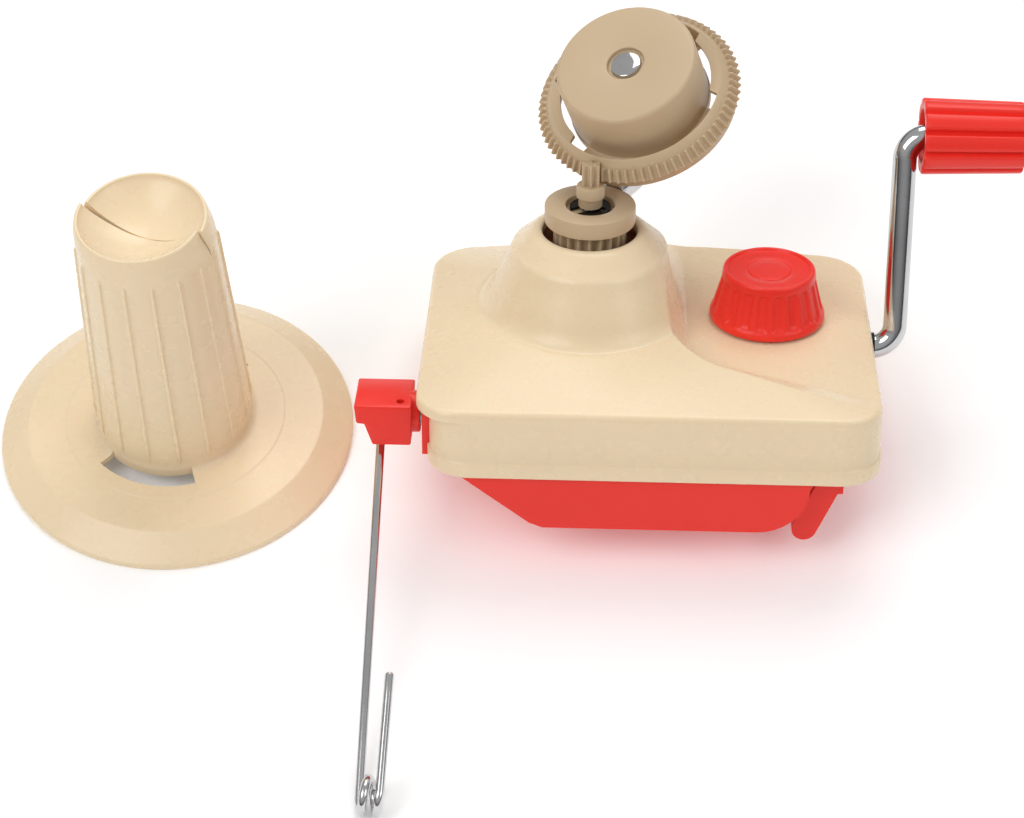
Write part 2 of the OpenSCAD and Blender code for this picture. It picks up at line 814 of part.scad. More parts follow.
module crank_grip() {
    color(red)
        at_grip()
            difference() {
                union() {
                    cylinder(h = grip_length, r1 = grip_radius - 0.8, r2 = grip_radius - 1.4);
                    for (i = [0:grip_lobes - 1])
                        rotate([0, 0, 360 * (i + 0.5) / grip_lobes])
                            translate([grip_radius - 3.1, 0, 0])
                                cylinder(h = grip_length, r1 = 3.1, r2 = 2.6, $fn = 24);
                }
                translate([0, 0, -1])
                    cylinder(h = grip_length - 3.4 + 1, r = crank_rod_d / 2 + run_gap);
                // hollow mouth round the journal, with three webs
                difference() {
                    translate([0, 0, -1])
                        cylinder(h = grip_length - 7, r = grip_radius - 3.4);
                    translate([0, 0, crank_bend - grip_start + crank_out + 1])
                        cylinder(h = grip_length, r = crank_rod_d / 2 + 1.6);
                    for (i = [0:2])
                        rotate([0, 0, 120 * i])
                            translate([0, -0.8, 5])
                                cube([grip_radius, 1.6, grip_length]);
                }
                translate([0, 0, grip_length - 6])
                    cylinder(h = 2.6, r = crank_rod_d / 2 + 1.6);
            }
}

module grip_cap() {
    color(steel)
        at_grip()
            ring_z(grip_length - 5.55, grip_length - 4.65, crank_rod_d / 2 + 1.2, crank_rod_d / 2 - 0.55);
}

// Clamp: knob and screw on the deck, nut and jaw under the tub
module at_screw() {
    on_table()
        translate([knob_right, knob_y, 0])
            children();
}

knob_flutes = 20;
knob_top_ratio = 0.79;
knob_lift = 0.8;

module clamp_knob() {
    base_z = deck_height + knob_lift;
    color(red)
        at_screw()
            difference() {
                union() {
                    translate([0, 0, base_z])
                        cylinder(h = 2.4, r1 = knob_radius, r2 = knob_radius - 0.5);
                    translate([0, 0, base_z + 2.3])
                        linear_extrude(height = knob_height - 5.3, scale = 0.845)
                            difference() {
                                circle(r = knob_radius - 0.7, $fn = 80);
                                for (i = [0:knob_flutes - 1])
                                    rotate([0, 0, 360 * i / knob_flutes])
                                        translate([knob_radius - 0.1, 0])
                                            circle(r = 1.7, $fn = 16);
                            }
                    translate([0, 0, base_z + knob_height - 3])
                        cylinder(h = 3, r1 = knob_radius * knob_top_ratio + 0.4,
                            r2 = knob_radius * knob_top_ratio);
                }
                translate([0, 0, base_z + knob_height - 0.8])
                    difference() {
                        cylinder(h = 2, r = knob_radius * knob_top_ratio - 1.2);
                        translate([0, 0, -1])
                            ring_z(0, 2, 5.2, 4.5);
                    }
                translate([0, 0, base_z - 1])
                    cylinder(h = knob_height - 3, r = screw_d / 2);
                translate([0, 0, base_z - 1])
                    difference() {
                        cylinder(h = knob_height - 4, r1 = knob_radius - 2.6, r2 = knob_radius - 5);
                        cylinder(h = knob_height, r = screw_d / 2 + 2.6);
                    }
            }
}

screw_bottom = -14.2;

module clamp_screw() {
    color(steel)
        at_screw()
            translate([0, 0, screw_bottom])
                cylinder(h = deck_height + knob_lift + knob_height - 4 - screw_bottom, r = screw_d / 2);
}

module knob_washer() {
    color(steel)
        at_screw()
            ring_z(deck_height + 0.05, deck_height + knob_lift - 0.05, screw_d / 2 + 2.6, screw_d / 2 + 0.1);
}

jaw_top = -2.3;
jaw_under = 0.5;
tube_top = 9.2;
insert_length = 8;
insert_radius = 4;
leg_front = -53;
leg_depth = 9;
arm_left = 69.4;
arm_right = 76.4;
arm_thick = 5.2;
leg_tip = [65.6, -20.3];
leg_radius = 3.7;

module clamp_jaw() {
    jaw_front = notch_front + 0.6;
    color(red)
        on_table()
            difference() {
                union() {
                    along_x(jaw_left, jaw_right)
                        polygon([[jaw_front, jaw_top], [jaw_front, -tub_depth + 1.2],
                            [jaw_front + 1, -tub_depth + 0.4],
                            [jaw_tip - 2, floor_z(jaw_tip - 2) + jaw_under],
                            [jaw_tip, floor_z(jaw_tip) + jaw_under + 0.8], [jaw_tip, jaw_top]]);
                    translate([knob_right, knob_y, -8])
                        cylinder(h = tube_top + 8, r = jaw_tube);
                    // arm along the tub's right end and the slanted leg at its front
                    translate([jaw_right - 2, jaw_front, jaw_top - arm_thick])
                        cube([arm_right - jaw_right + 2, 12, arm_thick]);
                    translate([arm_left, leg_front, jaw_top - arm_thick])
                        cube([arm_right - arm_left, jaw_front - leg_front + 12, arm_thick]);
                    along_y(leg_front, leg_front + leg_depth)
                        polygon(concat(
                            [for (a = [158:20:338]) leg_tip + leg_radius * [cos(a), sin(a)]],
                            [[arm_right + 0.6, jaw_top], [arm_left, jaw_top]]));
                }
                translate([knob_right, knob_y, -30])
                    cylinder(h = 60, r = screw_d / 2 + slide_gap);
                translate([knob_right, knob_y, tube_top - insert_length])
                    cylinder(h = 20, r = insert_radius);
                // pockets in the underside
                for (x = [jaw_left + 2.4, knob_right + jaw_tube + 1.2])
                    translate([x, jaw_front + 2.4, -30])
                        cube([knob_right - jaw_tube - 1.2 - jaw_left - 2.4, 28, 27]);
                // grip ridges across the tip
                for (y = [20:4:32])
                    translate([jaw_left - 1, y, jaw_top])
                        rotate([45, 0, 0])
                            cube([jaw_right - jaw_left + 2, 0.8, 0.8]);
            }
}

module clamp_nut() {
    color(steel)
        at_screw()
            ring_z(tube_top - insert_length, tube_top, insert_radius, screw_d / 2 + run_gap);
}

// Guide: swinging block at the left end with the wire and its pigtail eye
guide_right = -lug_left - 0.8;
guide_step = -body_left - roof_overhang - 0.6;
guide_left = guide_right - 19;
guide_low = 4;
guide_hub = 6.2;
wire_x = guide_left + 7.2;

module guide_pin() {
    color(steel)
        on_table() {
            rod_x(guide_left + 9, -body_left + plate_inset + 2, guide_y, guide_z, guide_pin_r);
            rod_x(guide_left + 7.6, guide_left + 9, guide_y, guide_z, guide_pin_r + 1.3);
        }
}

module guide_washer() {
    color(steel)
        on_table()
            ring_x(guide_right + 0.05, -lug_left - 0.05, guide_y, guide_z, 3.4, guide_pin_r + 0.05);
}

module guide_block() {
    color(red)
        on_table()
            difference() {
                union() {
                    along_y(guide_y - 8, guide_y + 8.5)
                        polygon([[guide_left, 17.2], [guide_left + 0.5, 11.4],
                            [guide_left + 2.8, 11.2], [guide_left + 5.2, guide_low],
                            [guide_step - 0.4, guide_low], [guide_step, 17.2]]);
                    rod_x(guide_step - 1, guide_right, guide_y, guide_z, guide_hub);
                }
                rod_x(guide_left + 8, guide_right + 2, guide_y, guide_z, guide_pin_r + run_gap);
                rod_x(guide_left - 2, guide_left + 9.1, guide_y, guide_z, guide_pin_r + 1.4);
                translate([guide_step - 3.4, guide_y - 4.6, 0])
                    cylinder(h = 40, r = 1.2);
                at_wire()
                    translate([0, 0, -4])
                        cylinder(h = 30, r = wire_d / 2);
            }
}

// The wire drops from the block's underside until its eye lies on the table
eye_mid = eye_d / 2 + wire_d / 2;
eye_out = eye_d / 2 + wire_d;
eye_run = wire_length - 2 * eye_mid;
wire_start_up = lift - guide_y * sin(lean) + guide_low * cos(lean);
wire_reach = norm([eye_run, eye_mid]);
wire_drop = lean + asin((wire_start_up - eye_out - 0.02) / wire_reach) + atan(eye_mid / eye_run);

// Frame of the guide wire: origin under the block, +Z along the wire to the eye
module at_wire() {
    translate([wire_x, guide_y, guide_low])
        rotate([90 + wire_drop, 0, 0])
            children();
}

eye_turns = 1.5;
eye_steps = 22;
eye_pitch = 4.3;
tail_length = 42;
wire_sides = 8;

// Route of the wire: straight run, coil about X, straight tail back
function wire_route() =
    let (coil = [for (i = [0:eye_steps * eye_turns])
             let (a = i * 360 / eye_steps)
             [eye_pitch * a / 360, eye_mid - eye_mid * cos(a), eye_run + eye_mid * sin(a)]],
         last = coil[len(coil) - 1],
         tail = [for (i = [1:4]) last + vnorm([0.03, 0.05, -1]) * tail_length * i / 4])
    concat([[0, 0, -3.5], [0, 0, eye_run / 2]], coil, tail);

function sweep_frame(p, i) =
    let (n = len(p), t = vnorm(p[min(i + 1, n - 1)] - p[max(i - 1, 0)]),
         u = vnorm(cross([1, 0, 0.001], t)), v = cross(t, u))
    [u, v];

module swept_wire(p, r, sides) {
    n = len(p);
    points = [for (i = [0:n - 1])
        let (f = sweep_frame(p, i))
        each [for (k = [0:sides - 1])
            p[i] + r * (cos(360 * k / sides) * f[0] + sin(360 * k / sides) * f[1])]];
    walls = [for (i = [0:n - 2], k = [0:sides - 1])
        let (a = i * sides + k, b = i * sides + (k + 1) % sides, c = b + sides, d = a + sides)
        each [[a, b, c], [a, c, d]]];
    ends = concat([[for (k = [sides - 1:-1:0]) k]], [[for (k = [0:sides - 1]) (n - 1) * sides + k]]);
    polyhedron(points = points, faces = concat(walls, ends), convexity = 8);
}

module guide_wire() {
    color(steel)
        on_table()
            at_wire()
                swept_wire(wire_route(), wire_d / 2, wire_sides);
}

// Cone: hollow barrel on a bevelled flange
flange_edge = 1.8;
flange_top = 7.4;
flange_bevel_r = 45.5;
rib_count = 16;
cone_slot_span = 56;
socket_radius = barrel_foot - cone_wall - 0.2;
socket_top = 20;
cone_shoulder = 1.7;
dish_depth = 8.8;
dish_radius = barrel_top - 1.2;
slit_turn = -17;

function dish_z(r) = cone_height - 0.7 - (dish_depth - 0.7) * (1 - pow(r / dish_radius, 2));

module cone() {
    mid_r = barrel_foot;
    color(cream)
        translate([-cone_left, -cone_front, 0])
            difference() {
                union() {
                    rotate_extrude($fn = 120)
                        polygon([[flange_radius - 0.6, 0], [flange_radius, 0.6], [flange_radius, flange_edge],
                            [flange_bevel_r, flange_top], [barrel_foot + 1.2, flange_top + 1.2],
                            [barrel_foot, flange_top + 3],
                            [barrel_top + cone_shoulder, cone_height - 7], [barrel_top, cone_height - 0.5],
                            [barrel_top - 0.5, cone_height], [barrel_top - 1, cone_height],
                            each [for (f = [1:-0.2:0.1]) [f * dish_radius, dish_z(f * dish_radius)]],
                            [0, cone_height - dish_depth], [0, cone_height - dish_depth - cone_wall],
                            each [for (f = [0.2:0.2:0.9])
                                [f * dish_radius, dish_z(f * dish_radius) - 1.1 * cone_wall]],
                            [barrel_top + cone_shoulder - 2.1, cone_height - 8],
                            [socket_radius, socket_top], [socket_radius, flange_top - cone_wall + 1],
                            [flange_bevel_r - 1, flange_top - cone_wall], [flange_radius - 2.4, 0]]);
                    for (i = [0:rib_count - 1])
                        rotate([0, 0, 360 * (i + 0.5) / rib_count])
                            cone_rib();
                }
                // yarn catch slit across the top and down the wall
                rotate([0, 0, slit_turn])
                    translate([0, 0, cone_height - 9])
                        linear_extrude(height = 12)
                            polygon([[-barrel_top - 3, -0.7], [0, -0.25], [barrel_top + 3, -0.25],
                                [barrel_top + 3, 0.25], [0, 0.25], [-barrel_top - 3, 0.7]]);
                // bayonet slots at the barrel's foot
                for (a = [-107, 49])
                    rotate([0, 0, a - cone_slot_span / 2])
                        translate([0, 0, flange_top - 4])
                            rotate_extrude(angle = cone_slot_span, $fn = 96)
                                translate([barrel_foot + 0.9, 0])
                                    square([3.2, 8]);
            }
}

module cone_rib() {
    z0 = flange_top + 6;
    z1 = cone_height - 9;
    slope = atan((barrel_foot - barrel_top - cone_shoulder) / (cone_height - 10 - flange_top));
    r0 = barrel_foot - (z0 - flange_top - 3) * tan(slope);
    translate([r0, 0, z0])
        rotate([0, -slope, 0])
            rotate([0, 90, 0])
                translate([0, 0, -0.8])
                    linear_extrude(height = 1.5)
                        polygon([[0, 0], [-3, -0.5], [-(z1 - z0) + 3, -0.5], [-(z1 - z0), 0],
                            [-(z1 - z0) + 3, 0.5], [-3, 0.5]]);
}

cover();
base_housing();
cover_screws();
fixed_shaft();
rotor_washer();
rotor();
e_clip();
top_pinion();
spindle_arm();
wheel_washer();
wheel();
drive_gear();
gear_pin();
crank_rod();
crank_bush();
crank_collar();
crank_grip();
grip_cap();
clamp_knob();
clamp_screw();
knob_washer();
clamp_jaw();
clamp_nut();
guide_pin();
guide_washer();
guide_block();
guide_wire();
cone();
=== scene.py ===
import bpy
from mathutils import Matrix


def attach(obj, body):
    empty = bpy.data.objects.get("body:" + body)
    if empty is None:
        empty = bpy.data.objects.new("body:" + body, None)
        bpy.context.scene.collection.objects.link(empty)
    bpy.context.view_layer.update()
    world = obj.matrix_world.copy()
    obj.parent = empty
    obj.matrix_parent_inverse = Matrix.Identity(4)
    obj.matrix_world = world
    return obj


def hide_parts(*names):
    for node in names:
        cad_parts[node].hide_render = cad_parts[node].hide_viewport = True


bl_info = {
    "name": "Yarn Ball Winder",
    "version": (1, 0, 0),
    "blender": (4, 5, 0),
    "location": "3D View > Sidebar > Winder",
    "description": "Builds the detailed pieces of a hand-cranked yarn ball winder over its packed frame",
    "category": "Object",
}

from math import asin, atan, atan2, cos, hypot, pi, radians, sin, tan
from types import SimpleNamespace

import bmesh
import bpy
from bpy.props import FloatProperty, FloatVectorProperty, IntProperty, PointerProperty
from mathutils import Matrix, Vector

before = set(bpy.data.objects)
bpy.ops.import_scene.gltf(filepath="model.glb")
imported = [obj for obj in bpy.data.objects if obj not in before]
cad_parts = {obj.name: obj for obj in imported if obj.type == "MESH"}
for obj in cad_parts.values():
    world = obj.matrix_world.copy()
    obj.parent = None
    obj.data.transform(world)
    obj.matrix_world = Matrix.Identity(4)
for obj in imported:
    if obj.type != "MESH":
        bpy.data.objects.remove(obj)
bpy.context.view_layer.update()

TAU = 2 * pi
QUARTER = pi / 2
MM = 0.001

# Sizes in millimetres that the panel leaves alone
FIXED = dict(
    knob_y=2.4,  # the clamp screw's place behind the shaft
    knob_lift=0.8,  # washer under the knob
    crank_start=11.6,  # inner end of the crank rod
    crank_gap=6.4,  # from the cover's end to the crank's upright
    crank_bend=7,
    bush_hole=4.4,  # radius of the hole for the crank's bush
    grip_gap=4.6,  # from the crank's upright to the grip
    pinion_low=66,
    pinion_high=72.9,
    mesh_gap=0.12,  # between the pitch lines of wheel and fixed pinion
    guide_y=-42,
    guide_z=11.2,  # height of the guide's pin
    guide_low=4,  # underside of the guide block
    lug_reach=1.5,  # from the cover's end to the end of the guide's lug
    guide_washer=0.8,
    guide_clear=0.6,  # between the roof's overhang and the guide
    guide_width=19,
    wire_in=7.2,  # from the guide block's end to its wire
    wire_tail=34,
    coil_pitch=4.3,
    eye_clear=0.02,  # under the guide's eye
    wheel_rim=26.0,  # inner radius of the wheel's toothed rim
)


def clamp01(t):
    return min(1.0, max(0.0, t))


def ease(t):
    c = clamp01(t)
    return c * c * (3 - 2 * c)


def lerp(a, b, t):
    return a + (b - a) * t


def soft_max(a, b, k):
    """The greater of two heights, blended over k where they cross"""
    h = clamp01(0.5 + 0.5 * (a - b) / k)
    return lerp(b, a, h) + k * h * (1 - h) / 2


def linear(*colour):
    """sRGB values from 0 to 255 as linear colour"""
    return tuple(
        c / 12.92 if c <= 0.04045 else ((c + 0.055) / 1.055) ** 2.4
        for c in (v / 255 for v in colour)
    )


# Sizes and colours


def length(label, text, value):
    return FloatProperty(name=label, description=text, default=value * MM, unit="LENGTH", precision=4)


def angle(label, text, value):
    return FloatProperty(
        name=label, description=text, default=radians(value), subtype="ANGLE", unit="ROTATION"
    )


def count(label, text, value, low, high):
    return IntProperty(name=label, description=text, default=value, min=low, max=high)


def colour(label, text, *value):
    return FloatVectorProperty(
        name=label, description=text, subtype="COLOR", size=3, min=0, max=1, default=linear(*value)
    )


class WinderBodySizes(bpy.types.PropertyGroup):
    """Sizes of the cover, the clamp knob and the yarn guide"""

    body_left: length("Body left", "From the rotor shaft to the cover's left end", 46.5)
    body_right: length("Body right", "From the rotor shaft to the cover's right end", 87.2)
    body_front: length("Body front", "From the rotor shaft to the cover's front", 61)
    body_back: length("Body back", "From the rotor shaft to the cover's rear", 50)
    side_height: length("Side height", "Height of the cover's side", 21.5)
    deck_height: length("Deck height", "Height of the flat deck under the knob", 21)
    hump_height: length("Hump height", "Height of the hump's round mouth", 51.5)
    cover_wall: length("Cover wall", "Thickness of the cover's wall", 2.2)
    mouth_radius: length("Mouth radius", "Radius of the mouth that the rotor turns in", 14.3)
    roof_overhang: length("Roof overhang", "How far the roof hangs out past the left side", 3.8)
    tub_depth: length("Tub depth", "Depth of the base tub below the cover", 17.5)
    tub_rest: length("Tub rest", "Where the tub's level bottom stops", 3)
    knob_right: length("Knob place", "From the rotor shaft to the clamp screw", 54.8)
    knob_radius: length("Knob radius", "Radius of the knob at its foot", 17.6)
    knob_height: length("Knob height", "Height of the knob", 16.2)
    knob_flutes: count("Knob flutes", "Flutes round the knob", 20, 8, 40)
    screw_d: length("Screw diameter", "Diameter of the clamp screw", 5.5)
    wire_d: length("Guide wire", "Diameter of the guide wire", 2.6)
    wire_length: length("Guide length", "From the guide's block to its eye", 122.3)
    eye_d: length("Guide eye", "Inside diameter of the guide's eye", 6.6)


class WinderDriveSizes(bpy.types.PropertyGroup):
    """Sizes of the crank, the rotor, the tilted wheel and the cone"""

    crank_height: length("Crank height", "Height of the crank axis above the cover's lower edge", 15.2)
    crank_front: length("Crank offset", "How far the crank axis passes in front of the shaft", 4.5)
    crank_rod_d: length("Crank rod", "Diameter of the crank rod", 7.2)
    crank_radius: length("Crank radius", "From the crank axis to the grip's axis", 65.7)
    crank_angle: angle("Crank angle", "How far the crank leans back from upright", 13)
    grip_radius: length("Grip radius", "Radius over the grip's lobes", 11.4)
    grip_length: length("Grip length", "Length of the grip", 30)
    grip_lobes: count("Grip lobes", "Lobes round the grip", 10, 6, 16)
    collar_height: length("Collar height", "Height of the collar's top face", 59.6)
    collar_radius: length("Collar radius", "Radius of the collar", 13.7)
    collar_thickness: length("Collar thickness", "Thickness of the collar", 5.4)
    rotor_teeth: count("Rotor teeth", "Teeth on the rotor's pinion", 20, 12, 30)
    arm_d: length("Arm diameter", "Diameter of the bent arm", 7.8)
    arm_direction: angle("Arm direction", "Direction of the arm round the shaft", 61)
    wheel_tilt: angle("Wheel tilt", "Tilt of the wheel's axis from the shaft", 32)
    wheel_module: length("Tooth module", "Module of the wheel's teeth", 0.78)
    wheel_teeth: count("Wheel teeth", "Teeth on the tilted wheel", 76, 40, 96)
    pinion_teeth: count("Top pinion teeth", "Teeth on the fixed pinion", 6, 5, 8)
    drum_radius: length("Drum radius", "Radius of the drum that carries the cone", 21.4)
    drum_rise: length("Drum rise", "Height of the drum's face over the teeth", 15.2)
    axle_d: length("Axle diameter", "Diameter of the axle in the wheel", 9)
    flange_radius: length("Flange radius", "Radius of the cone's flange", 55)
    cone_height: length("Cone height", "Height of the cone", 95)
    barrel_foot: length("Barrel foot", "Radius of the barrel at its foot", 24)
    barrel_top: length("Barrel top", "Radius of the barrel at its top", 18.6)
    cone_wall: length("Cone wall", "Wall of the cone", 1.8)
    cone_left: length("Cone left", "Place of the cone left of the shaft", 128)
    cone_front: length("Cone front", "Place of the cone in front of the shaft", 13)
    cone_ribs: count("Cone ribs", "Ribs round the barrel", 16, 8, 24)


class WinderColours(bpy.types.PropertyGroup):
    """Colours of the winder's plastics and metals"""

    cream: colour("Cream plastic", "Cover and cone", 238, 216, 181)
    red: colour("Red plastic", "Base, knob, grip and guide block", 240, 50, 38)
    taupe: colour("Taupe plastic", "Rotor and winding wheel", 200, 176, 143)
    ivory: colour("Ivory plastic", "Drive gear", 226, 219, 200)
    chrome: colour("Chrome", "Crank, arm and guide wire", 205, 205, 206)
    zinc: colour("Zinc plate", "Shaft, screws and washers", 176, 178, 180)
    dark: colour("Blackened steel", "Clip, spacer and bush", 40, 39, 38)


def measured(context):
    """Every size in millimetres and every angle in radians, with what follows from them"""
    m = SimpleNamespace(**FIXED)
    for group in (context.scene.winder_body, context.scene.winder_drive):
        for key, prop in group.bl_rna.properties.items():
            if prop.type == "INT":
                setattr(m, key, getattr(group, key))
            elif prop.type == "FLOAT":
                unit = 1 if prop.unit == "ROTATION" else MM
                setattr(m, key, getattr(group, key) / unit)
    # the winder leans back until the tub's rest and the cover's rear lip are on the table
    m.lean = atan(m.tub_depth / (m.body_back + m.tub_rest))
    m.lift = m.body_back * sin(m.lean)
    m.crank_out = m.body_right + m.crank_gap
    m.grip_start = m.crank_out + m.grip_gap
    m.wheel_pitch = m.wheel_module * m.wheel_teeth / 2
    m.pinion_pitch = m.wheel_module * m.pinion_teeth / 2
    m.wheel_out = m.pinion_pitch + m.mesh_gap + m.wheel_pitch * cos(m.wheel_tilt)
    m.wheel_up = (m.pinion_low + m.pinion_high) / 2 + m.wheel_pitch * sin(m.wheel_tilt)
    m.guide_right = -(m.body_left + m.lug_reach) - m.guide_washer
    m.guide_step = -m.body_left - m.roof_overhang - m.guide_clear
    m.guide_left = m.guide_right - m.guide_width
    m.wire_x = m.guide_left + m.wire_in
    m.eye_mid = m.eye_d / 2 + m.wire_d / 2
    m.eye_run = m.wire_length - 2 * m.eye_mid
    # the wire drops until its eye lies on the table
    start_up = m.lift - m.guide_y * sin(m.lean) + m.guide_low * cos(m.lean)
    fall = start_up - m.eye_d / 2 - m.wire_d - m.eye_clear
    m.wire_drop = m.lean + asin(fall / hypot(m.eye_run, m.eye_mid)) + atan(m.eye_mid / m.eye_run)
    return m


# Places: each turns millimetres on a piece's own axes into metres on the table


def on_table(m):
    return Matrix.Scale(MM, 4) @ Matrix.Translation((0, 0, m.lift)) @ Matrix.Rotation(-m.lean, 4, "X")


def at_wheel(m):
    return (
        on_table(m)
        @ Matrix.Rotation(m.arm_direction, 4, "Z")
        @ Matrix.Translation((m.wheel_out, 0, m.wheel_up))
        @ Matrix.Rotation(-m.wheel_tilt, 4, "Y")
    )


def at_crank(m):
    return on_table(m) @ Matrix.Translation((0, -m.crank_front, m.crank_height))


def at_grip(m):
    return (
        at_crank(m)
        @ Matrix.Rotation(-m.crank_angle, 4, "X")
        @ Matrix.Translation((m.grip_start, 0, m.crank_radius))
        @ Matrix.Rotation(QUARTER, 4, "Y")
    )


def at_guide_pin(m, x):
    """On the guide's pin at x, with the pin's axis as Z"""
    return on_table(m) @ Matrix.Translation((x, m.guide_y, m.guide_z)) @ Matrix.Rotation(QUARTER, 4, "Y")


def at_wire(m):
    return (
        on_table(m)
        @ Matrix.Translation((m.wire_x, m.guide_y, m.guide_low))
        @ Matrix.Rotation(QUARTER + m.wire_drop, 4, "X")
    )


# Outlines and rings


def polar(r, a):
    return (r * cos(a), r * sin(a))


def angles(number, start=0.0, span=TAU):
    """Even angles; a part turn has both of its ends"""
    full = abs(span - TAU) < 1e-6
    return [start + span * k / (number if full else number - 1) for k in range(number)]


def about(r, z, *offsets):
    """Profile points round the corner (r, z), each (out, up) from it with whatever else it carries"""
    return [(r + out, z + up, *rest) for out, up, *rest in offsets]


def rounded(corners, steps=4):
    """Closed outline from (x, y, radius) corners, each rounded by its radius"""
    out = []
    for i, (x, y, r) in enumerate(corners):
        here = Vector((x, y))
        back = Vector(corners[i - 1][:2]) - here
        ahead = Vector(corners[(i + 1) % len(corners)][:2]) - here
        half = back.angle(ahead) / 2
        if r <= 0 or half > 1.5 or half < 0.05:
            out.append(here)
            continue
        cut = min(r / tan(half), 0.49 * back.length, 0.49 * ahead.length)
        r = cut * tan(half)
        back.normalize()
        ahead.normalize()
        centre = here + (back + ahead).normalized() * (r / sin(half))
        a, b = here + back * cut - centre, here + ahead * cut - centre
        out += [centre + (a * (1 - k / steps) + b * (k / steps)).normalized() * r for k in range(steps + 1)]
    return out


def turned(profile, turns):
    """Rings of a turned form from (radius, height) points"""
    return [[(*polar(r, a), z) for a in turns] for r, z in profile]


def prism(outline, z0, z1):
    """An outline at two heights"""
    return [[(x, y, z) for x, y in outline] for z in (z0, z1)]


def swept(path, radius, sides=20, ends=0.5):
    """Rings of a round wire along a route, its ends rounded"""
    path = [Vector(p) for p in path]
    last = len(path) - 1
    tangent = [(path[min(i + 1, last)] - path[max(i - 1, 0)]).normalized() for i in range(last + 1)]
    side = tangent[0].orthogonal().normalized()
    lips = [
        (radius * (1 - ends + ends * sin(q)), ends * radius * (cos(q) - 1))
        for q in (0.0, 0.5, 1.0, 1.3, 1.5708)
    ]
    rings = []
    for i, (p, t) in enumerate(zip(path, tangent)):
        side = (side - t * side.dot(t)).normalized()
        up = t.cross(side)
        ring = [(side * cos(a) + up * sin(a)) for a in angles(sides)]
        if i in (0, last):
            way = -1 if i == 0 else 1
            made = [[p + t * way * back + v * r for v in ring] for r, back in lips]
            rings += made if i == 0 else list(reversed(made))
        else:
            rings.append([p + v * radius for v in ring])
    return rings


def tooth_flanks(add, ded, roots, tips):
    """(height, width) points over one tooth from shares of its depth, its height and its half width"""
    flank = [(-ded * share, w) for share, w in roots] + [(add * share, w) for share, w in tips]
    return [(h, -w) for h, w in flank] + [(h, w) for h, w in reversed(flank)]


def spur_outline(teeth, module, add, ded, width):
    """Plan of a spur gear whose teeth rise add modules, sink ded modules and are width half pitches wide"""
    pitch, half = module * teeth / 2, width * pi / 2 / teeth
    roots = ((1, 1.9), (0.93, 1.62), (0.45, 1.28))
    tips = ((0, 1), (0.35, 0.86), (0.7, 0.68), (0.93, 0.5), (1, 0.32))
    shape = tooth_flanks(add, ded, roots, tips)
    return [
        polar(pitch + h * module, i * TAU / teeth + w * half)
        for i in range(teeth)
        for h, w in shape
    ]


def gear_rings(outline, z0, z1, edge):
    """Rings of a gear with broken edges at both faces"""
    near = edge * 0.3
    steps = [(edge, z0), (near, z0 + near), (0, z0 + edge), (0, z1 - edge), (near, z1 - near), (edge, z1)]
    rings = []
    for by, z in steps:
        drawn_in = [(1 - by / hypot(x, y), x, y) for x, y in outline]
        rings.append([(x * share, y * share, z) for share, x, y in drawn_in])
    return rings


# Meshes


def weave_rings(bm, rings, place, looped=False, caps=False):
    """Joins rings of points into a skin; looped joins the last ring to the first, caps closes both ends"""
    rows = [[bm.verts.new(place @ Vector(p)) for p in ring] for ring in rings]
    pairs = list(zip(rows, rows[1:]))
    if looped:
        pairs.append((rows[-1], rows[0]))
    for low, high in pairs:
        for k in range(len(low)):
            n = (k + 1) % len(low)
            bm.faces.new((low[k], low[n], high[n], high[k]))
    if caps:
        bm.faces.new(list(reversed(rows[0])))
        bm.faces.new(rows[-1])


def finished_mesh(name, bm, sharp=38):
    """Cleans a skin, turns its faces outward and keeps its creases crisp"""
    bmesh.ops.remove_doubles(bm, verts=bm.verts, dist=2e-6)
    bmesh.ops.dissolve_degenerate(bm, dist=1e-7, edges=bm.edges)
    bmesh.ops.recalc_face_normals(bm, faces=bm.faces)
    limit = radians(sharp)
    for face in bm.faces:
        face.smooth = True
    for edge in bm.edges:
        edge.smooth = len(edge.link_faces) == 2 and edge.calc_face_angle(0) < limit
    mesh = bpy.data.meshes.new(name)
    bm.to_mesh(mesh)
    bm.free()
    return mesh


def skin(name, rings, place, sharp=38, **join):
    """A finished mesh from one set of rings"""
    bm = bmesh.new()
    weave_rings(bm, rings, place, **join)
    return finished_mesh(name, bm, sharp)


def merged(*meshes):
    """The given meshes in one fresh skin; the meshes go"""
    bm = bmesh.new()
    for mesh in meshes:
        bm.from_mesh(mesh)
        bpy.data.meshes.remove(mesh)
    return bm


def plain_object(name, mesh):
    obj = bpy.data.objects.new(name, mesh)
    bpy.context.scene.collection.objects.link(obj)
    return obj


def cutter_of(rings, place):
    return plain_object("cutter", skin("cutter", rings, place, caps=True))


def box_cutter(low, high, place):
    (x0, y0, z0), (x1, y1, z1) = low, high
    return cutter_of(prism([(x0, y0), (x1, y0), (x1, y1), (x0, y1)], z0, z1), place)


def arc_cutter(r0, r1, z0, z1, middle, span, place):
    """Cutter in the shape of a ring's sector"""
    turns = angles(29, middle - span / 2, span)
    sector = [polar(r1, a) for a in turns] + [polar(r0, a) for a in reversed(turns)]
    return cutter_of(prism(sector, z0, z1), place)


def cut_away(mesh, cutters):
    """The mesh with every cutter object taken out of it; the cutters go"""
    body = plain_object("being_cut", mesh)
    for cutter in cutters:
        step = body.modifiers.new("cut", "BOOLEAN")
        step.operation = "DIFFERENCE"
        step.solver = "EXACT"
        step.object = cutter
    result = bpy.data.meshes.new_from_object(body.evaluated_get(bpy.context.evaluated_depsgraph_get()))
    for obj in [body] + cutters:
        used = obj.data
        bpy.data.objects.remove(obj)
        bpy.data.meshes.remove(used)
    return finished_mesh(result.name, merged(result))


# Materials


def set_inputs(node, values):
    for key, value in values.items():
        node.inputs[key].default_value = value


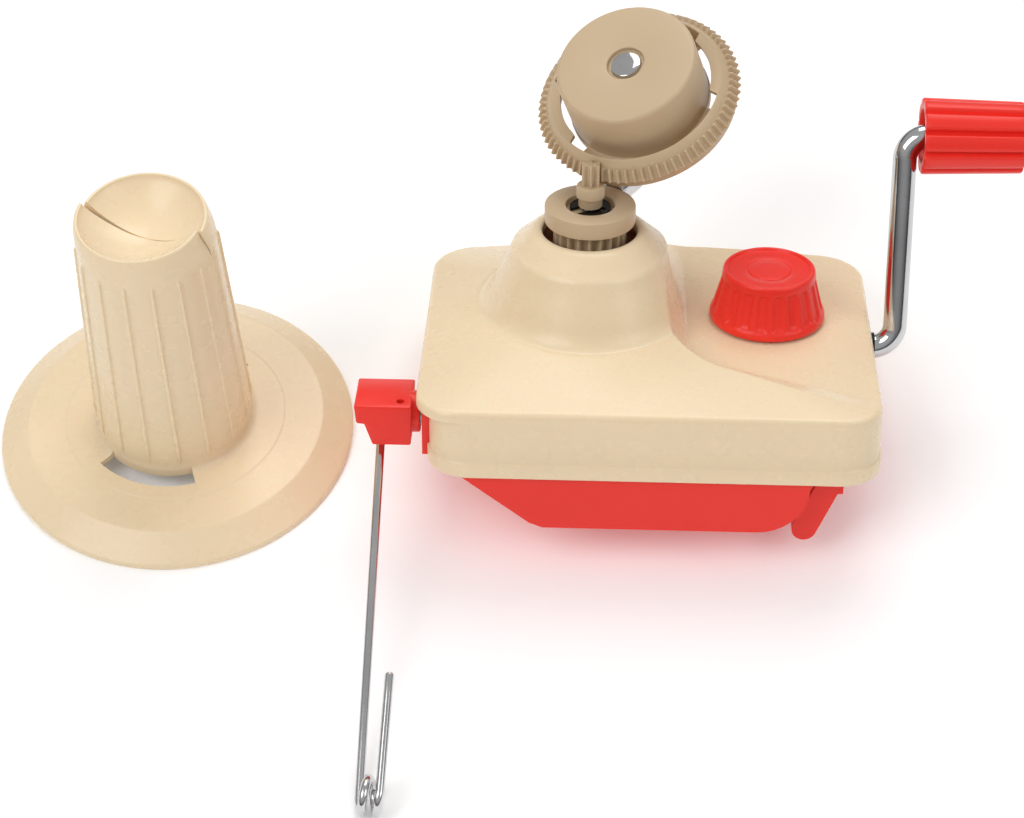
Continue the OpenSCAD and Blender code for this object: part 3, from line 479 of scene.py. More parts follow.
def node_of(tree, kind, **values):
    made = tree.nodes.new(kind)
    for key, value in values.items():
        if key in made.inputs:
            made.inputs[key].default_value = value
        else:
            setattr(made, key.lower(), value)
    return made


def noise_of(tree, place, scale, detail=2.0, rough=0.5):
    noise = node_of(tree, "ShaderNodeTexNoise", Scale=scale, Detail=detail, Roughness=rough)
    tree.links.new(place.outputs["Object"], noise.inputs["Vector"])
    return noise.outputs["Fac"]


def ranged(tree, value, low, high, to_low, to_high):
    fit = tree.nodes.new("ShaderNodeMapRange")
    set_inputs(fit, {"From Min": low, "From Max": high, "To Min": to_low, "To Max": to_high})
    tree.links.new(value, fit.inputs["Value"])
    return fit.outputs["Result"]


def times(tree, a, b):
    product = node_of(tree, "ShaderNodeMath", operation="MULTIPLY")
    tree.links.new(a, product.inputs[0])
    tree.links.new(b, product.inputs[1])
    return product.outputs[0]


def blended(tree, factor, a, b):
    """Colour a where the factor is 0 and b where it is 1; each is a colour or a socket"""
    mix = node_of(tree, "ShaderNodeMix", data_type="RGBA")
    tree.links.new(factor, mix.inputs["Factor"])
    for socket, value in ((mix.inputs[6], a), (mix.inputs[7], b)):
        if isinstance(value, tuple):
            socket.default_value = value
        else:
            tree.links.new(value, socket)
    return mix.outputs[2]


def shade(base, factor):
    return tuple(min(1.0, c * factor) for c in base) + (1.0,)


def worn_and_highlit_edges(tree, radius):
    """1 on corners that hands have worn and that carry a painted highlight, 0 on flat faces, and the plain
    normal
    """
    bevel = node_of(tree, "ShaderNodeBevel", samples=6)
    bevel.inputs["Radius"].default_value = radius
    flat = tree.nodes.new("ShaderNodeNewGeometry")
    dot = node_of(tree, "ShaderNodeVectorMath", operation="DOT_PRODUCT")
    tree.links.new(bevel.outputs["Normal"], dot.inputs[0])
    tree.links.new(flat.outputs["Normal"], dot.inputs[1])
    return ranged(tree, dot.outputs["Value"], 0.7, 0.95, 1, 0), flat.outputs["Normal"]


def new_material(name):
    """A fresh material with its nodes, or only the material if it is there already

    The ending keeps it apart from the frame's own flat materials, which have the bare slot names.
    """
    name += "_finish"
    material = bpy.data.materials.get(name)
    if material:
        return material, None, None, None
    material = bpy.data.materials.new(name)
    material.use_nodes = True
    tree = material.node_tree
    tree.nodes.clear()
    surface = tree.nodes.new("ShaderNodeBsdfPrincipled")
    output = tree.nodes.new("ShaderNodeOutputMaterial")
    tree.links.new(surface.outputs["BSDF"], output.inputs["Surface"])
    return material, tree, surface, tree.nodes.new("ShaderNodeTexCoord")


def bumped(tree, surface, normal, layers):
    """Stacks bump layers of (height socket, strength, distance) on a normal"""
    for height, strength, distance in layers:
        bump = node_of(tree, "ShaderNodeBump", Strength=strength, Distance=distance)
        tree.links.new(height, bump.inputs["Height"])
        tree.links.new(normal, bump.inputs["Normal"])
        normal = bump.outputs["Normal"]
    tree.links.new(normal, surface.inputs["Normal"])


def moulded_plastic(name, base, gloss, milky, depth, cloud):
    """Moulded plastic: clouded pigment, faint sink and orange peel, paler edges that are partly worn and
    partly a painted highlight, and a milky skin
    """
    material, tree, surface, place = new_material(name)
    if not tree:
        return material
    base = tuple(base)
    cloudy = noise_of(tree, place, scale=26, detail=3, rough=0.55)
    speck = noise_of(tree, place, scale=1900)
    smear = noise_of(tree, place, scale=110, detail=4, rough=0.6)
    wear_and_highlight, normal = worn_and_highlit_edges(tree, radius=0.0005)
    dull, bright = shade(base, 1 - cloud), shade(base, 1 + cloud * 0.7)
    body = blended(tree, ranged(tree, cloudy, 0.3, 0.7, 0, 1), dull, bright)
    body = blended(tree, ranged(tree, speck, 0.66, 0.8, 0, 0.05), body, shade(base, 0.9))
    # paler edges: partly worn plastic, partly a painted highlight on the rounded edges
    edge_wear_and_highlight = times(tree, wear_and_highlight, ranged(tree, smear, 0.35, 0.6, 0.1, 0.35))
    pale = tuple(lerp(min(1, c * 1.12), 1, 0.12) for c in base) + (1.0,)
    tree.links.new(blended(tree, edge_wear_and_highlight, body, pale), surface.inputs["Base Color"])
    rough = ranged(tree, smear, 0.3, 0.72, gloss - 0.01, gloss + 0.02)
    tree.links.new(rough, surface.inputs["Roughness"])
    set_inputs(surface, {
        "IOR": 1.46,
        "Specular IOR Level": 0.42,
        "Subsurface Weight": milky,
        "Subsurface Radius": (1.0, 0.62, 0.38),
        "Subsurface Scale": depth,
    })
    sink = noise_of(tree, place, scale=48, detail=1)
    peel = noise_of(tree, place, scale=2600)
    bumped(tree, surface, normal, [(sink, 0.008, 0.0004), (peel, 0.008, 0.0001)])
    return material


def plated_steel(name, base, gloss, streak):
    """Plated steel: slight tone changes, polishing streaks, tiny pits, and brighter edges, partly worn
    plating and partly a painted highlight
    """
    material, tree, surface, place = new_material(name)
    if not tree:
        return material
    base = tuple(base)
    tone = noise_of(tree, place, scale=60, detail=3)
    pits = noise_of(tree, place, scale=2400, detail=1)
    stretch = node_of(tree, "ShaderNodeMapping")
    stretch.inputs["Scale"].default_value = (40, 900, 900)
    tree.links.new(place.outputs["Object"], stretch.inputs["Vector"])
    lines = node_of(tree, "ShaderNodeTexNoise", Scale=3.0, Detail=3.0)
    tree.links.new(stretch.outputs["Vector"], lines.inputs["Vector"])
    wear_and_highlight, normal = worn_and_highlit_edges(tree, radius=0.0003)
    body = blended(tree, ranged(tree, tone, 0.3, 0.7, 0, 1), shade(base, 0.9), shade(base, 1.05))
    body = blended(tree, ranged(tree, pits, 0.66, 0.78, 0, 0.5), body, shade(base, 0.5))
    # brighter edges: partly worn plating, partly a painted highlight
    body = blended(tree, times(tree, wear_and_highlight, tone), body, shade(base, 1.25))
    tree.links.new(body, surface.inputs["Base Color"])
    surface.inputs["Metallic"].default_value = 1.0
    rough = ranged(tree, tone, 0.3, 0.7, gloss - 0.03, gloss + 0.06)
    tree.links.new(rough, surface.inputs["Roughness"])
    bumped(tree, surface, normal, [(lines.outputs["Fac"], streak, 0.00012), (pits, 0.02, 0.0001)])
    return material


# Each material slot of the record: how it is made, its colour and its look
FINISHES = {
    "cream_plastic": (moulded_plastic, "cream", dict(gloss=0.27, milky=0.16, depth=0.003, cloud=0.012)),
    "red_plastic": (moulded_plastic, "red", dict(gloss=0.33, milky=0.1, depth=0.0012, cloud=0.03)),
    "taupe_plastic": (moulded_plastic, "taupe", dict(gloss=0.38, milky=0.08, depth=0.0012, cloud=0.02)),
    "ivory_plastic": (moulded_plastic, "ivory", dict(gloss=0.4, milky=0.15, depth=0.002, cloud=0.04)),
    "chrome_steel": (plated_steel, "chrome", dict(gloss=0.09, streak=0.05)),
    "zinc_steel": (plated_steel, "zinc", dict(gloss=0.26, streak=0.12)),
    "black_steel": (plated_steel, "dark", dict(gloss=0.36, streak=0.1)),
}


def finish_of(context, slot):
    make, base, look = FINISHES[slot]
    return make(slot, getattr(context.scene.winder_colours, base), **look)


def add_piece(context, name, mesh, body, slot, node):
    """Puts a piece on its body with its finish, in place of the node that it stands for"""
    obj = plain_object(name, mesh)
    obj.data.materials.append(finish_of(context, slot))
    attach(obj, body)
    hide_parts(node)


# Cover


def corner_points(cx, cy, r, start, steps):
    turns = angles(steps + 1, start, QUARTER)
    return [(cx + r * cos(a), cy + r * sin(a)) for a in turns]


def run_points(p, q, number, bow=0.0):
    """Points between p and q, bowed outward in the middle"""
    out = []
    for i in range(1, number):
        u = 2 * i / number - 1
        out.append((lerp(p[0], q[0], i / number), lerp(p[1], q[1], i / number) + bow * (1 - u * u)))
    return out


def body_plan(m, inset, left_out=0.0):
    """Plan of the body: straight front and ends, bowed rear, four round corners"""
    front_corner, rear_corner, rear_bow = 13, 15, 5
    long_run, end_run, steps = 84, 56, 18
    x0, x1 = -m.body_left - left_out + inset, m.body_right - inset
    y0, y1 = -m.body_front + inset, m.body_back - rear_bow - inset
    rf, rr = front_corner - inset, rear_corner - inset
    fl = corner_points(x0 + rf, y0 + rf, rf, 2 * QUARTER, steps)
    fr = corner_points(x1 - rf, y0 + rf, rf, 3 * QUARTER, steps)
    br = corner_points(x1 - rr, y1 - rr, rr, 0, steps)
    bl = corner_points(x0 + rr, y1 - rr, rr, QUARTER, steps)
    front = fl + run_points(fl[-1], fr[0], long_run) + fr
    right = run_points(fr[-1], br[0], end_run)
    rear = br + run_points(br[-1], bl[0], long_run, rear_bow) + bl
    return front + right + rear + run_points(bl[-1], fl[0], end_run)


def hump_profile(m, r):
    """Height of the hump: an eased shoulder, then a straight flank"""
    shoulder, shoulder_run, shoulder_fall = 15.5, 10, 6.5
    flank, flank_slope = 23.5, 2.1
    eased = ease((r - shoulder) / shoulder_run) * shoulder_fall
    return m.hump_height - eased - max(0.0, r - flank) * flank_slope


def step_side(x, y):
    """How far a point lies inside the deck, whose edge has one round corner"""
    left, front, skew, corner = 27, 30, 0.42, 13
    a, b = x - left, (y + front + skew * (x - 35)) * 0.92
    if a < corner and b < corner:
        return corner - hypot(corner - a, corner - b)
    return min(a, b)


def riser(t):
    """Share of the step from roof to deck: it breaks off at the roof and runs out smoothly on the deck"""
    c = clamp01(t)
    return 1 - (1 - c) ** 1.6 * (1 + 0.6 * c)


def roof_height(m, x, y, r, r_edge):
    hill_start, hill_top, blend, riser_run = 30, 28, 5, 7.2
    s = clamp01((r - hill_start) / max(1.0, r_edge - hill_start))
    hill = lerp(hill_top, m.side_height, s**0.9)
    deck = riser((step_side(x, y) + riser_run / 2) / riser_run)
    return lerp(soft_max(hump_profile(m, r), hill, blend), m.deck_height, deck)


def cover_spoke(m, roof, side, lip, inner):
    """Section of the cover along one spoke, from the mouth over the roof to the lip and back inside"""
    e = hypot(*roof)
    d = (roof[0] / e, roof[1] / e)
    mouth, crown, wall = m.mouth_radius, m.hump_height, m.cover_wall
    mouth_round, edge_round, edge_drop = 0.9, 1.5, 1.9
    near, far = mouth + 24, e - edge_round

    def height(r):
        return roof_height(m, d[0] * r, d[1] * r, r, e)

    def out(r, z):
        return (d[0] * r, d[1] * r, z)

    def between(a, b, share, z):
        return (lerp(a[0], b[0], share), lerp(a[1], b[1], share), z)

    points = [out(mouth, crown - wall - 0.6), out(mouth, crown - mouth_round)]
    for q in (0.4, 0.8, 1.2):
        points.append(out(mouth + mouth_round * (1 - cos(q)), crown - mouth_round + mouth_round * sin(q)))
    radii = [mouth + mouth_round + 0.55 * k for k in range(42)]
    radii += [lerp(near, far, k / 62) for k in range(63)]
    points += [out(r, height(r)) for r in radii]
    slope = (height(far) - height(far - 0.5)) / 0.5
    for q in (0.25, 0.5, 0.75, 1.0, 1.25, 1.5708):
        z = height(far) + slope * edge_round * sin(q) * 0.5 - edge_drop * (1 - cos(q))
        points.append(out(far + edge_round * sin(q), z))
    edge = points[-1][2]
    low = height(e) - 3.2
    points += [(*roof, z) for z in (lerp(edge, low, 0.5), low + 0.2)]
    points.append(between(roof, side, 0.12, low - 0.15))
    points += [(*side, z) for z in (low - 0.5, lerp(low, 5, 0.5), 5.25)]
    points += [between(side, lip, share, z) for share, z in ((0.3, 4.95), (0.75, 4.7))]
    points += [(*lip, z) for z in (4.3, 2.2, 0.35)]
    points.append(between(lip, inner, 0.12, 0.0))
    points += [(*inner, z) for z in (0.0, low * 0.5, height(e) - wall - 1.5)]
    # the inside follows the roof, a wall's thickness below it
    for r in [lerp(e - 6, near, k / 9) for k in range(10)] + [near - 2.2 * k for k in range(1, 10)]:
        g = (height(r + 0.3) - height(r - 0.3)) / 0.6
        w = wall / hypot(1, g)
        points.append(out(r + g * w, height(r) - w))
    return points


class WINDER_OT_cover(bpy.types.Operator):
    """Builds the cream cover with its mouth, hump, sloped roof, deck, overhang and lip"""

    bl_idname = "winder.cover"
    bl_label = "Cover"

    def execute(self, context):
        m = measured(context)
        place = on_table(m)
        side_in, wall_in, lug_top = 0.7, 2.9, 15.6
        lug_front, lug_back = m.guide_y - 7.4, m.guide_y + 7.4
        roof, side = body_plan(m, side_in, m.roof_overhang), body_plan(m, side_in)
        lip, inner = body_plan(m, 0), body_plan(m, wall_in)
        spokes = [cover_spoke(m, *corners) for corners in zip(roof, side, lip, inner)]
        mesh = skin("moulded_cover", list(zip(*spokes)), place, looped=True)
        bush, y, left, right = m.bush_hole, -m.crank_front, -m.body_left, m.body_right
        ring = [(y + bush * cos(a), m.crank_height + bush * sin(a)) for a in angles(48)]
        hole = [[(x, b, c) for b, c in ring] for x in (right - 9, right + 3)]
        cutters = [
            cutter_of(hole, place),
            box_cutter((right - 8, y - bush, -1), (right + 2, y + bush, m.crank_height), place),
            box_cutter((left - 2, lug_front, -1), (left + 5, lug_back, lug_top), place),
        ]
        add_piece(context, "moulded_cover", cut_away(mesh, cutters), "housing", "cream_plastic", "cover")
        return {"FINISHED"}


# Cone


def rib_offsets(m):
    """(angle, share of the rib's height, place across the rib) round the barrel, crowded at its thin ribs"""
    half, foot, plain_steps = 0.62 / m.barrel_foot, 1.35, 6
    flank = ((foot, 0), (1.0, 0.12), (0.72, 0.75), (0.4, 0.97))
    shape = [(-s, h) for s, h in flank] + [(0, 1)] + [(s, h) for s, h in reversed(flank)]
    gap = TAU / m.cone_ribs - 2 * foot * half
    out = []
    for i in range(m.cone_ribs):
        middle = TAU * (i + 0.5) / m.cone_ribs
        out += [(middle + s * half, h, s) for s, h in shape]
        out += [(middle + foot * half + gap * k / plain_steps, 0, 0) for k in range(1, plain_steps)]
    return out


class WINDER_OT_cone(bpy.types.Operator):
    """Builds the cream cone: bevelled flange, ribbed barrel, bayonet slots and the yarn slit in its top"""

    bl_idname = "winder.cone"
    bl_label = "Cone"

    def execute(self, context):
        m = measured(context)
        place = Matrix.Scale(MM, 4) @ Matrix.Translation((-m.cone_left, -m.cone_front, 0))
        top, foot, head, flange = m.cone_height, m.barrel_foot, m.barrel_top, m.flange_radius
        shoulder, dish = head + 1.7, head - 1.2
        dish_rim, dish_low, dish_depth = top - 0.7, top - 8.8, 8.1
        barrel_low, ribs_low, rib_rise, rib_height = 10.4, 12.6, 3.4, 0.72
        lean = (foot - shoulder) / (top - 7 - barrel_low)
        shares = rib_offsets(m)
        turns = [a for a, _, _ in shares]

        def dished(radii, below=0):
            """Points of the concave top, or of its inside that far below"""
            return [(dish * f, dish_rim - dish_depth * (1 - f**2) - below) for f in radii]

        def ribbed(r, z):
            """One ring of the barrel, whose ribs rise over the foot and end under the shoulder"""
            fade = clamp01((z - ribs_low) / rib_rise) * clamp01((dish_low - z) / 0.9)
            lift = rib_height * fade**0.7
            return [(*polar(r + lift * h * (abs(s) < fade + 0.45), a), z) for a, h, s in shares]

        outer = about(flange, 0, (-0.6, 0), (-0.15, 0.2), (0, 0.6), (0, 1.4), (-0.25, 1.85))
        outer += [(lerp(flange - 0.6, 46.2, k / 4), lerp(2.1, 7.15, k / 4)) for k in range(5)]
        outer += [(45.95, 7.29), (45.6, 7.38), (45.2, 7.41), (38, 7.8), (34.5, 7.98), (34.2, 8.02)]
        outer += [(33.9, 8.24), (33.5, 8.28), (30, 8.42), (26.6, 8.58), (25.3, 8.8), (24.5, 9.4)]
        outer.append((foot, barrel_low))
        rows = [12.4, 12.9, 13.4, 14.2, 15.2, 16.4] + [lerp(18, top - 19.5, k / 14) for k in range(15)]
        rows += [top - down for down in (18, 15, 12.5, 11, 10.2, 9.6, 9.2, 8.9, 8.5)]
        barrel = [ribbed(foot - (z - barrel_low) * lean, z) for z in rows]
        cap = about(shoulder, top, (-0.02, -7.5), (-0.12, -6.6), (-0.45, -5), (-0.95, -3))
        cap += about(head, top, (0.25, -1.2), (0.05, -0.5), (-0.1, -0.2), (-0.35, -0.04))
        cap += about(head, top, (-0.7, 0), (-0.95, -0.12), (-1.2, -0.7))
        cap += dished((0.94, 0.85, 0.75, 0.65, 0.55, 0.45, 0.35, 0.25, 0.15, 0.07))
        under = [(0, dish_low), (0, dish_low - m.cone_wall)]
        under += dished((0.3, 0.5, 0.7, 0.8), 1.1 * m.cone_wall) + [(shoulder - 2.1, top - 8)]
        under += [(21.95, 22), (22, 19.5), (22, 8.6), (23.4, 7), (44.4, 5.7), (52.6, 0)]
        rings = turned(outer, turns) + barrel + turned(cap + under, turns)
        mesh = skin("ribbed_cone", rings, place, looped=True)

        slot_middles, slot_span = (radians(-103), radians(77)), radians(64)
        cutters = [arc_cutter(foot + 0.05, foot + 5.3, 3.4, 12, a, slot_span, place) for a in slot_middles]
        turn, slit_low, past = radians(-17), top - 9, head + 3
        slit = [(-past, -0.62), (0, -0.2), (past, -0.16), (past, 0.16), (0, 0.2), (-past, 0.62)]
        cutters.append(cutter_of(prism(slit, slit_low, top + 3), place @ Matrix.Rotation(turn, 4, "Z")))
        mesh = cut_away(mesh, cutters)
        # the lip in front of the slit stands a little to the left, so that the yarn slides in
        lip_shift = Vector((-cos(turn), -sin(turn))) * 1.4
        for vertex in mesh.vertices:
            x, y, z = place.inverted() @ vertex.co
            if z > slit_low and y * cos(turn) - x * sin(turn) < 0:
                shift = lip_shift * ease((z - slit_low) / 8)
                vertex.co = place @ Vector((x + shift.x, y + shift.y, z))
        add_piece(context, "ribbed_cone", mesh, "winding_cone", "cream_plastic", "cone")
        return {"FINISHED"}


# Clamp knob


class WINDER_OT_knob(bpy.types.Operator):
    """Builds the red clamp knob: plain foot rim, flutes, raised top rim and inner ring"""

    bl_idname = "winder.knob"
    bl_label = "Clamp knob"

    def execute(self, context):
        m = measured(context)
        place = on_table(m) @ Matrix.Translation((m.knob_right, m.knob_y, 0))
        base, h, bore = m.deck_height + m.knob_lift, m.knob_height, m.screw_d / 2
        r0, rt = m.knob_radius, m.knob_radius * 0.79
        flute_depth, boss_wall = 0.75, 2.6
        # (radius, height, share of the flutes' depth)
        side = about(r0, 0, (-0.5, 0, 0), (-0.12, 0.12, 0), (0, 0.5, 0), (-0.05, 1.4, 0), (-0.25, 2.1, 0))
        side += about(r0, 0, (-0.5, 2.5, 0.06), (-0.72, 2.9, 0.45), (-0.85, 3.4, 0.85), (-1, 4, 1))
        side += [
            (lerp(r0 - 1, rt + 0.45, k / 10), lerp(4, h - 3.6, k / 10), 1 - 0.15 * k / 10)
            for k in range(1, 11)
        ]
        side += about(rt, h, (0.42, -3.2, 0.8), (0.4, -2.9, 0.4), (0.38, -2.6, 0.05), (0.36, -2.3, 0))
        side += about(rt, h, (0.16, -0.8, 0), (0.02, -0.3, 0), (-0.3, -0.04, 0), (-0.75, 0, 0))
        side += about(rt, h, (-1.05, -0.12, 0), (-1.2, -0.4, 0), (-1.35, -0.72, 0), (-1.7, -0.8, 0))
        face = about(0, h, (9.5, -0.8, 0), (6.85, -0.8, 0), (6.75, -0.86, 0), (6.62, -1, 0), (6.5, -1, 0))
        face += about(0, h, (6.42, -0.84, 0), (6.3, -0.72, 0), (6.1, -0.66, 0), (3, -0.62, 0), (0, -0.62, 0))
        hollow = [(0, h - 3.8, 0)] + about(r0, h, (-5.4, -3.8, 0), (-5, -4.2, 0))
        hollow += about(r0, 0, (-2.7, 0.15, 0), (-2.5, 0, 0))

        def flute(a):
            """1 in the middle of a flute and 0 on the ridges"""
            u = (a * m.knob_flutes / TAU) % 1.0
            return 1 - ease((abs(u - 0.5) * 2 - 0.4) / 0.34)

        turns = angles(m.knob_flutes * 18)
        cuts = [(a, flute(a)) for a in turns]
        rings = [
            [(*polar(r - flute_depth * depth * cut, a), base + z) for a, cut in cuts]
            for r, z, depth in hollow + side + face
        ]
        wall, boss_top = bore + boss_wall, base + h - 3.9
        boss = [(bore, base), (wall - 0.2, base), (wall, base + 0.3), (wall, boss_top), (bore, boss_top)]
        bm = bmesh.new()
        weave_rings(bm, rings, place)
        weave_rings(bm, turned(boss, angles(48)), place, looped=True)
        mesh = finished_mesh("fluted_knob", bm, 46)
        add_piece(context, "fluted_knob", mesh, "clamp_screw_body", "red_plastic", "clamp_knob")
        return {"FINISHED"}


# Crank and grip


def crank_route(m):
    """Middle line of the crank rod, on the crank's axes"""
    bend, out, up = m.crank_bend, m.crank_out, m.crank_radius
    turn = Matrix.Rotation(-m.crank_angle, 3, "X")
    elbow = angles(15, 0, QUARTER)
    end = m.grip_start + m.grip_length - 3.6
    level = [(lerp(m.crank_start, out - bend, k / 6), 0, 0) for k in range(6)]
    arm = [(out - bend + bend * sin(a), 0, bend - bend * cos(a)) for a in elbow]
    arm += [(out, 0, lerp(bend, up - bend, k / 6)) for k in range(1, 6)]
    arm += [(out + bend - bend * cos(a), 0, up - bend + bend * sin(a)) for a in elbow]
    arm += [(lerp(out + bend, end, k / 3), 0, up) for k in range(1, 4)]
    return level + [tuple(turn @ Vector(p)) for p in arm]


class WINDER_OT_crank(bpy.types.Operator):
    """Builds the chromed crank rod with its two elbows"""

    bl_idname = "winder.crank"
    bl_label = "Crank rod"

    def execute(self, context):
        m = measured(context)
        rings = swept(crank_route(m), m.crank_rod_d / 2, 36, 0.25)
        mesh = skin("bent_crank", rings, at_crank(m), 50, caps=True)
        add_piece(context, "bent_crank", mesh, "crank", "chrome_steel", "crank_rod")
        return {"FINISHED"}


class WINDER_OT_grip(bpy.types.Operator):
    """Builds the red grip: broad lobes with narrow grooves, hollow at its inner end"""

    bl_idname = "winder.grip"
    bl_label = "Crank grip"

    def execute(self, context):
        m = measured(context)
        place = at_grip(m)
        turns = angles(m.grip_lobes * 22, pi / m.grip_lobes)
        end, r0, rod = m.grip_length, m.grip_radius, m.crank_rod_d / 2

        def groove(a):
            """Depth below the lobes' tops: a narrow groove between two lobes, and each one's roundness"""
            u = (a * m.grip_lobes / TAU) % 1.0
            return 1.55 * (1 - ease(min(u, 1 - u) / 0.2)) + 0.35 * (1 - sin(pi * u))

        # (height, radius taken off, share of the grooves' depth)
        outside = [(0, 0.55, 0.75), (0.12, 0.2, 0.9), (0.5, 0, 1)]
        outside += [(lerp(0.5, end - 0.7, k / 12), 0.75 * k / 12, 1) for k in range(1, 13)]
        outside += [(end - 0.4, 0.85, 1), (end - 0.12, 1.05, 0.97), (end, 1.5, 0.9)]
        rings = [[(*polar(r0 - off - groove(a) * deep, a), z) for a in turns] for z, off, deep in outside]
        inside = about(0, end, (5.5, 0), (5.2, -0.12), (0.01, -0.12), (0.01, -3.3))
        inside += about(rod, end, (1.6, -3.4), (1.6, -6), (0.05, -6.05))
        inside += about(rod, 0, (0.05, 3.8), (0.3, 3.45), (1.35, 3.4), (1.6, 3.7))
        inside += [(rod + 1.6, end - 8.2), (r0 - 3.6, end - 8.1), (r0 - 3.4, end - 8.6)]
        inside += about(r0, 0, (-3.3, 0.6), (-3.1, 0.15), (-2.8, 0))
        bm = bmesh.new()
        weave_rings(bm, rings + turned(inside, turns), place, looped=True)
        near, far, half = rod + 1.5, r0 - 3.2, 0.8
        web = prism([(near, -half), (far, -half), (far, half), (near, half)], 5, end - 8)
        for turn in angles(3):
            weave_rings(bm, web, place @ Matrix.Rotation(turn, 4, "Z"), caps=True)
        mesh = finished_mesh("lobed_grip", bm, 44)
        add_piece(context, "lobed_grip", mesh, "grip", "red_plastic", "crank_grip")
        return {"FINISHED"}


# Yarn guide


def wire_route(m):
    """Middle line of the guide wire: straight, one and a half turns of the eye, and the tail back"""
    mid, steps, coils = m.eye_mid, 48, 1.5
    route = [(0, 0, lerp(-3.5, m.eye_run * 0.97, k / 6)) for k in range(7)]
    for i in range(int(steps * coils) + 1):
        a = TAU * i / steps
        route.append((m.coil_pitch * a / TAU, mid - mid * cos(a), m.eye_run + mid * sin(a)))
    eye_end, way = Vector(route[-1]), Vector((0.03, 0.05, -1)).normalized()
    return route + [tuple(eye_end + way * m.wire_tail * k / 5) for k in range(1, 6)]


class WINDER_OT_guide(bpy.types.Operator):
    """Builds the yarn guide: the red block with its hub, and the wire with its eye and tail"""

    bl_idname = "winder.guide"
    bl_label = "Yarn guide"

    def execute(self, context):
        m = measured(context)
        mesh = skin("pigtail_wire", swept(wire_route(m), m.wire_d / 2, 24, 0.6), at_wire(m), 50, caps=True)
        add_piece(context, "pigtail_wire", mesh, "yarn_guide", "chrome_steel", "guide_wire")

        place = on_table(m)
        left, step, low, high = m.guide_left, m.guide_step, m.guide_low, 17.2
        corners = [(left, high, 0.5), (left + 0.5, 11.4, 0.5), (left + 2.8, 11.2, 0.4)]
        corners += [(left + 5.2, low, 0.6), (step - 0.4, low, 0.5), (step, high, 0.5)]
        face = rounded(corners)
        cx, cz = lerp(left + 3, step, 0.5), 11

        def drawn_in(by, y):
            """The block's outline at y, drawn in towards its middle"""
            return [((x - cx) * (1 - by / 9) + cx, y, (z - cz) * (1 - by / 7) + cz) for x, z in face]

        y0, y1 = m.guide_y - 8, m.guide_y + 8.5
        cuts = ((0.5, y0), (0.18, y0 + 0.1), (0, y0 + 0.5), (0, y1 - 0.5), (0.18, y1 - 0.1), (0.5, y1))
        block = skin("guide_block_body", [drawn_in(*cut) for cut in cuts], place, caps=True)
        hole = turned([(1.25, 0), (1.25, 40)], angles(32))
        recess = turned([(2.9, -2), (2.9, 9.1)], angles(32))
        hole_place = place @ Matrix.Translation((step - 3.4, m.guide_y - 4.6, 0))
        block = cut_away(block, [cutter_of(hole, hole_place), cutter_of(recess, at_guide_pin(m, left))])
        bm = merged(block)
        pin, hub, end = 1.55, 6.2, m.guide_right - step + 1
        profile = [(pin, 0), (hub, 0), (hub, end - 0.4), (hub - 0.2, end), (pin, end)]
        weave_rings(bm, turned(profile, angles(48)), at_guide_pin(m, step - 1), looped=True)
        mesh = finished_mesh("swing_block", bm)
        add_piece(context, "swing_block", mesh, "yarn_guide", "red_plastic", "guide_block")
        return {"FINISHED"}


# Winding wheel and its gearing


def tooth_shape(m):
    """(out, across) points over one tooth of the tilted wheel"""
    add, ded, half = 0.85 * m.wheel_module, 1.05 * m.wheel_module, 0.37 * m.wheel_module * 1.571
    roots = ((1, 1.75), (0.9, 1.5), (0.45, 1.25))
    tips = ((0, 1), (0.4, 0.84), (0.75, 0.64), (0.95, 0.46), (1, 0.25))
    return [(h, w * half) for h, w in tooth_flanks(add, ded, roots, tips)]


def toothed_rim(m, place):
    """The wheel's rim: teeth on the lower part of its conical band, and a plain band above them"""
    sin_t, cos_t = sin(m.wheel_tilt), cos(m.wheel_tilt)
    shape = tooth_shape(m)
    ded = shape[0][0]
    starts = [pi + TAU * i / m.wheel_teeth for i in range(m.wheel_teeth)]
    turns = [start + atan2(across, m.wheel_pitch) for start in starts for _, across in shape]
    rim, half_band = m.wheel_rim, 3
    band_r = m.wheel_pitch - 1.05 * m.wheel_module / cos_t - half_band * sin_t
    band_z = half_band * cos_t

    def tooth_ring(along, share):
        """Ring at a place along the band, its teeth risen by a share"""
        ring = []
        for start in starts:
            for out, across in shape:
                out = lerp(ded, out, share)
                x = m.wheel_pitch + out * cos_t - along * sin_t
                z = out * sin_t + along * cos_t
                ring.append((x * cos(start) - across * sin(start), x * sin(start) + across * cos(start), z))
        return ring

    low = [(rim + 0.2, -6.2), (rim + 0.6, -6.6), (29.2, -6.6), (29.55, -6.45), (29.7, -6.1), (29.7, -2.9)]
    low.append((29.85, -2.62))
    band = [(-2.95, 0), (-2.82, 0), (-2.8, 0.9), (-2.65, 1), (1.2, 1), (1.4, 0.85), (1.45, 0), (1.55, 0)]
    band.append((2.95, 0))
    high = [(band_r - 0.25, band_z + 0.1), (band_r - 0.42, 2.85), (band_r - 0.62, 3)]
    high += [(rim + 0.35, 3), (rim + 0.1, 2.9), (rim, 2.6), (rim, -5)]
    rings = turned(low, turns) + [tooth_ring(*step) for step in band] + turned(high, turns)
    return skin("toothed_rim", rings, place, looped=True)


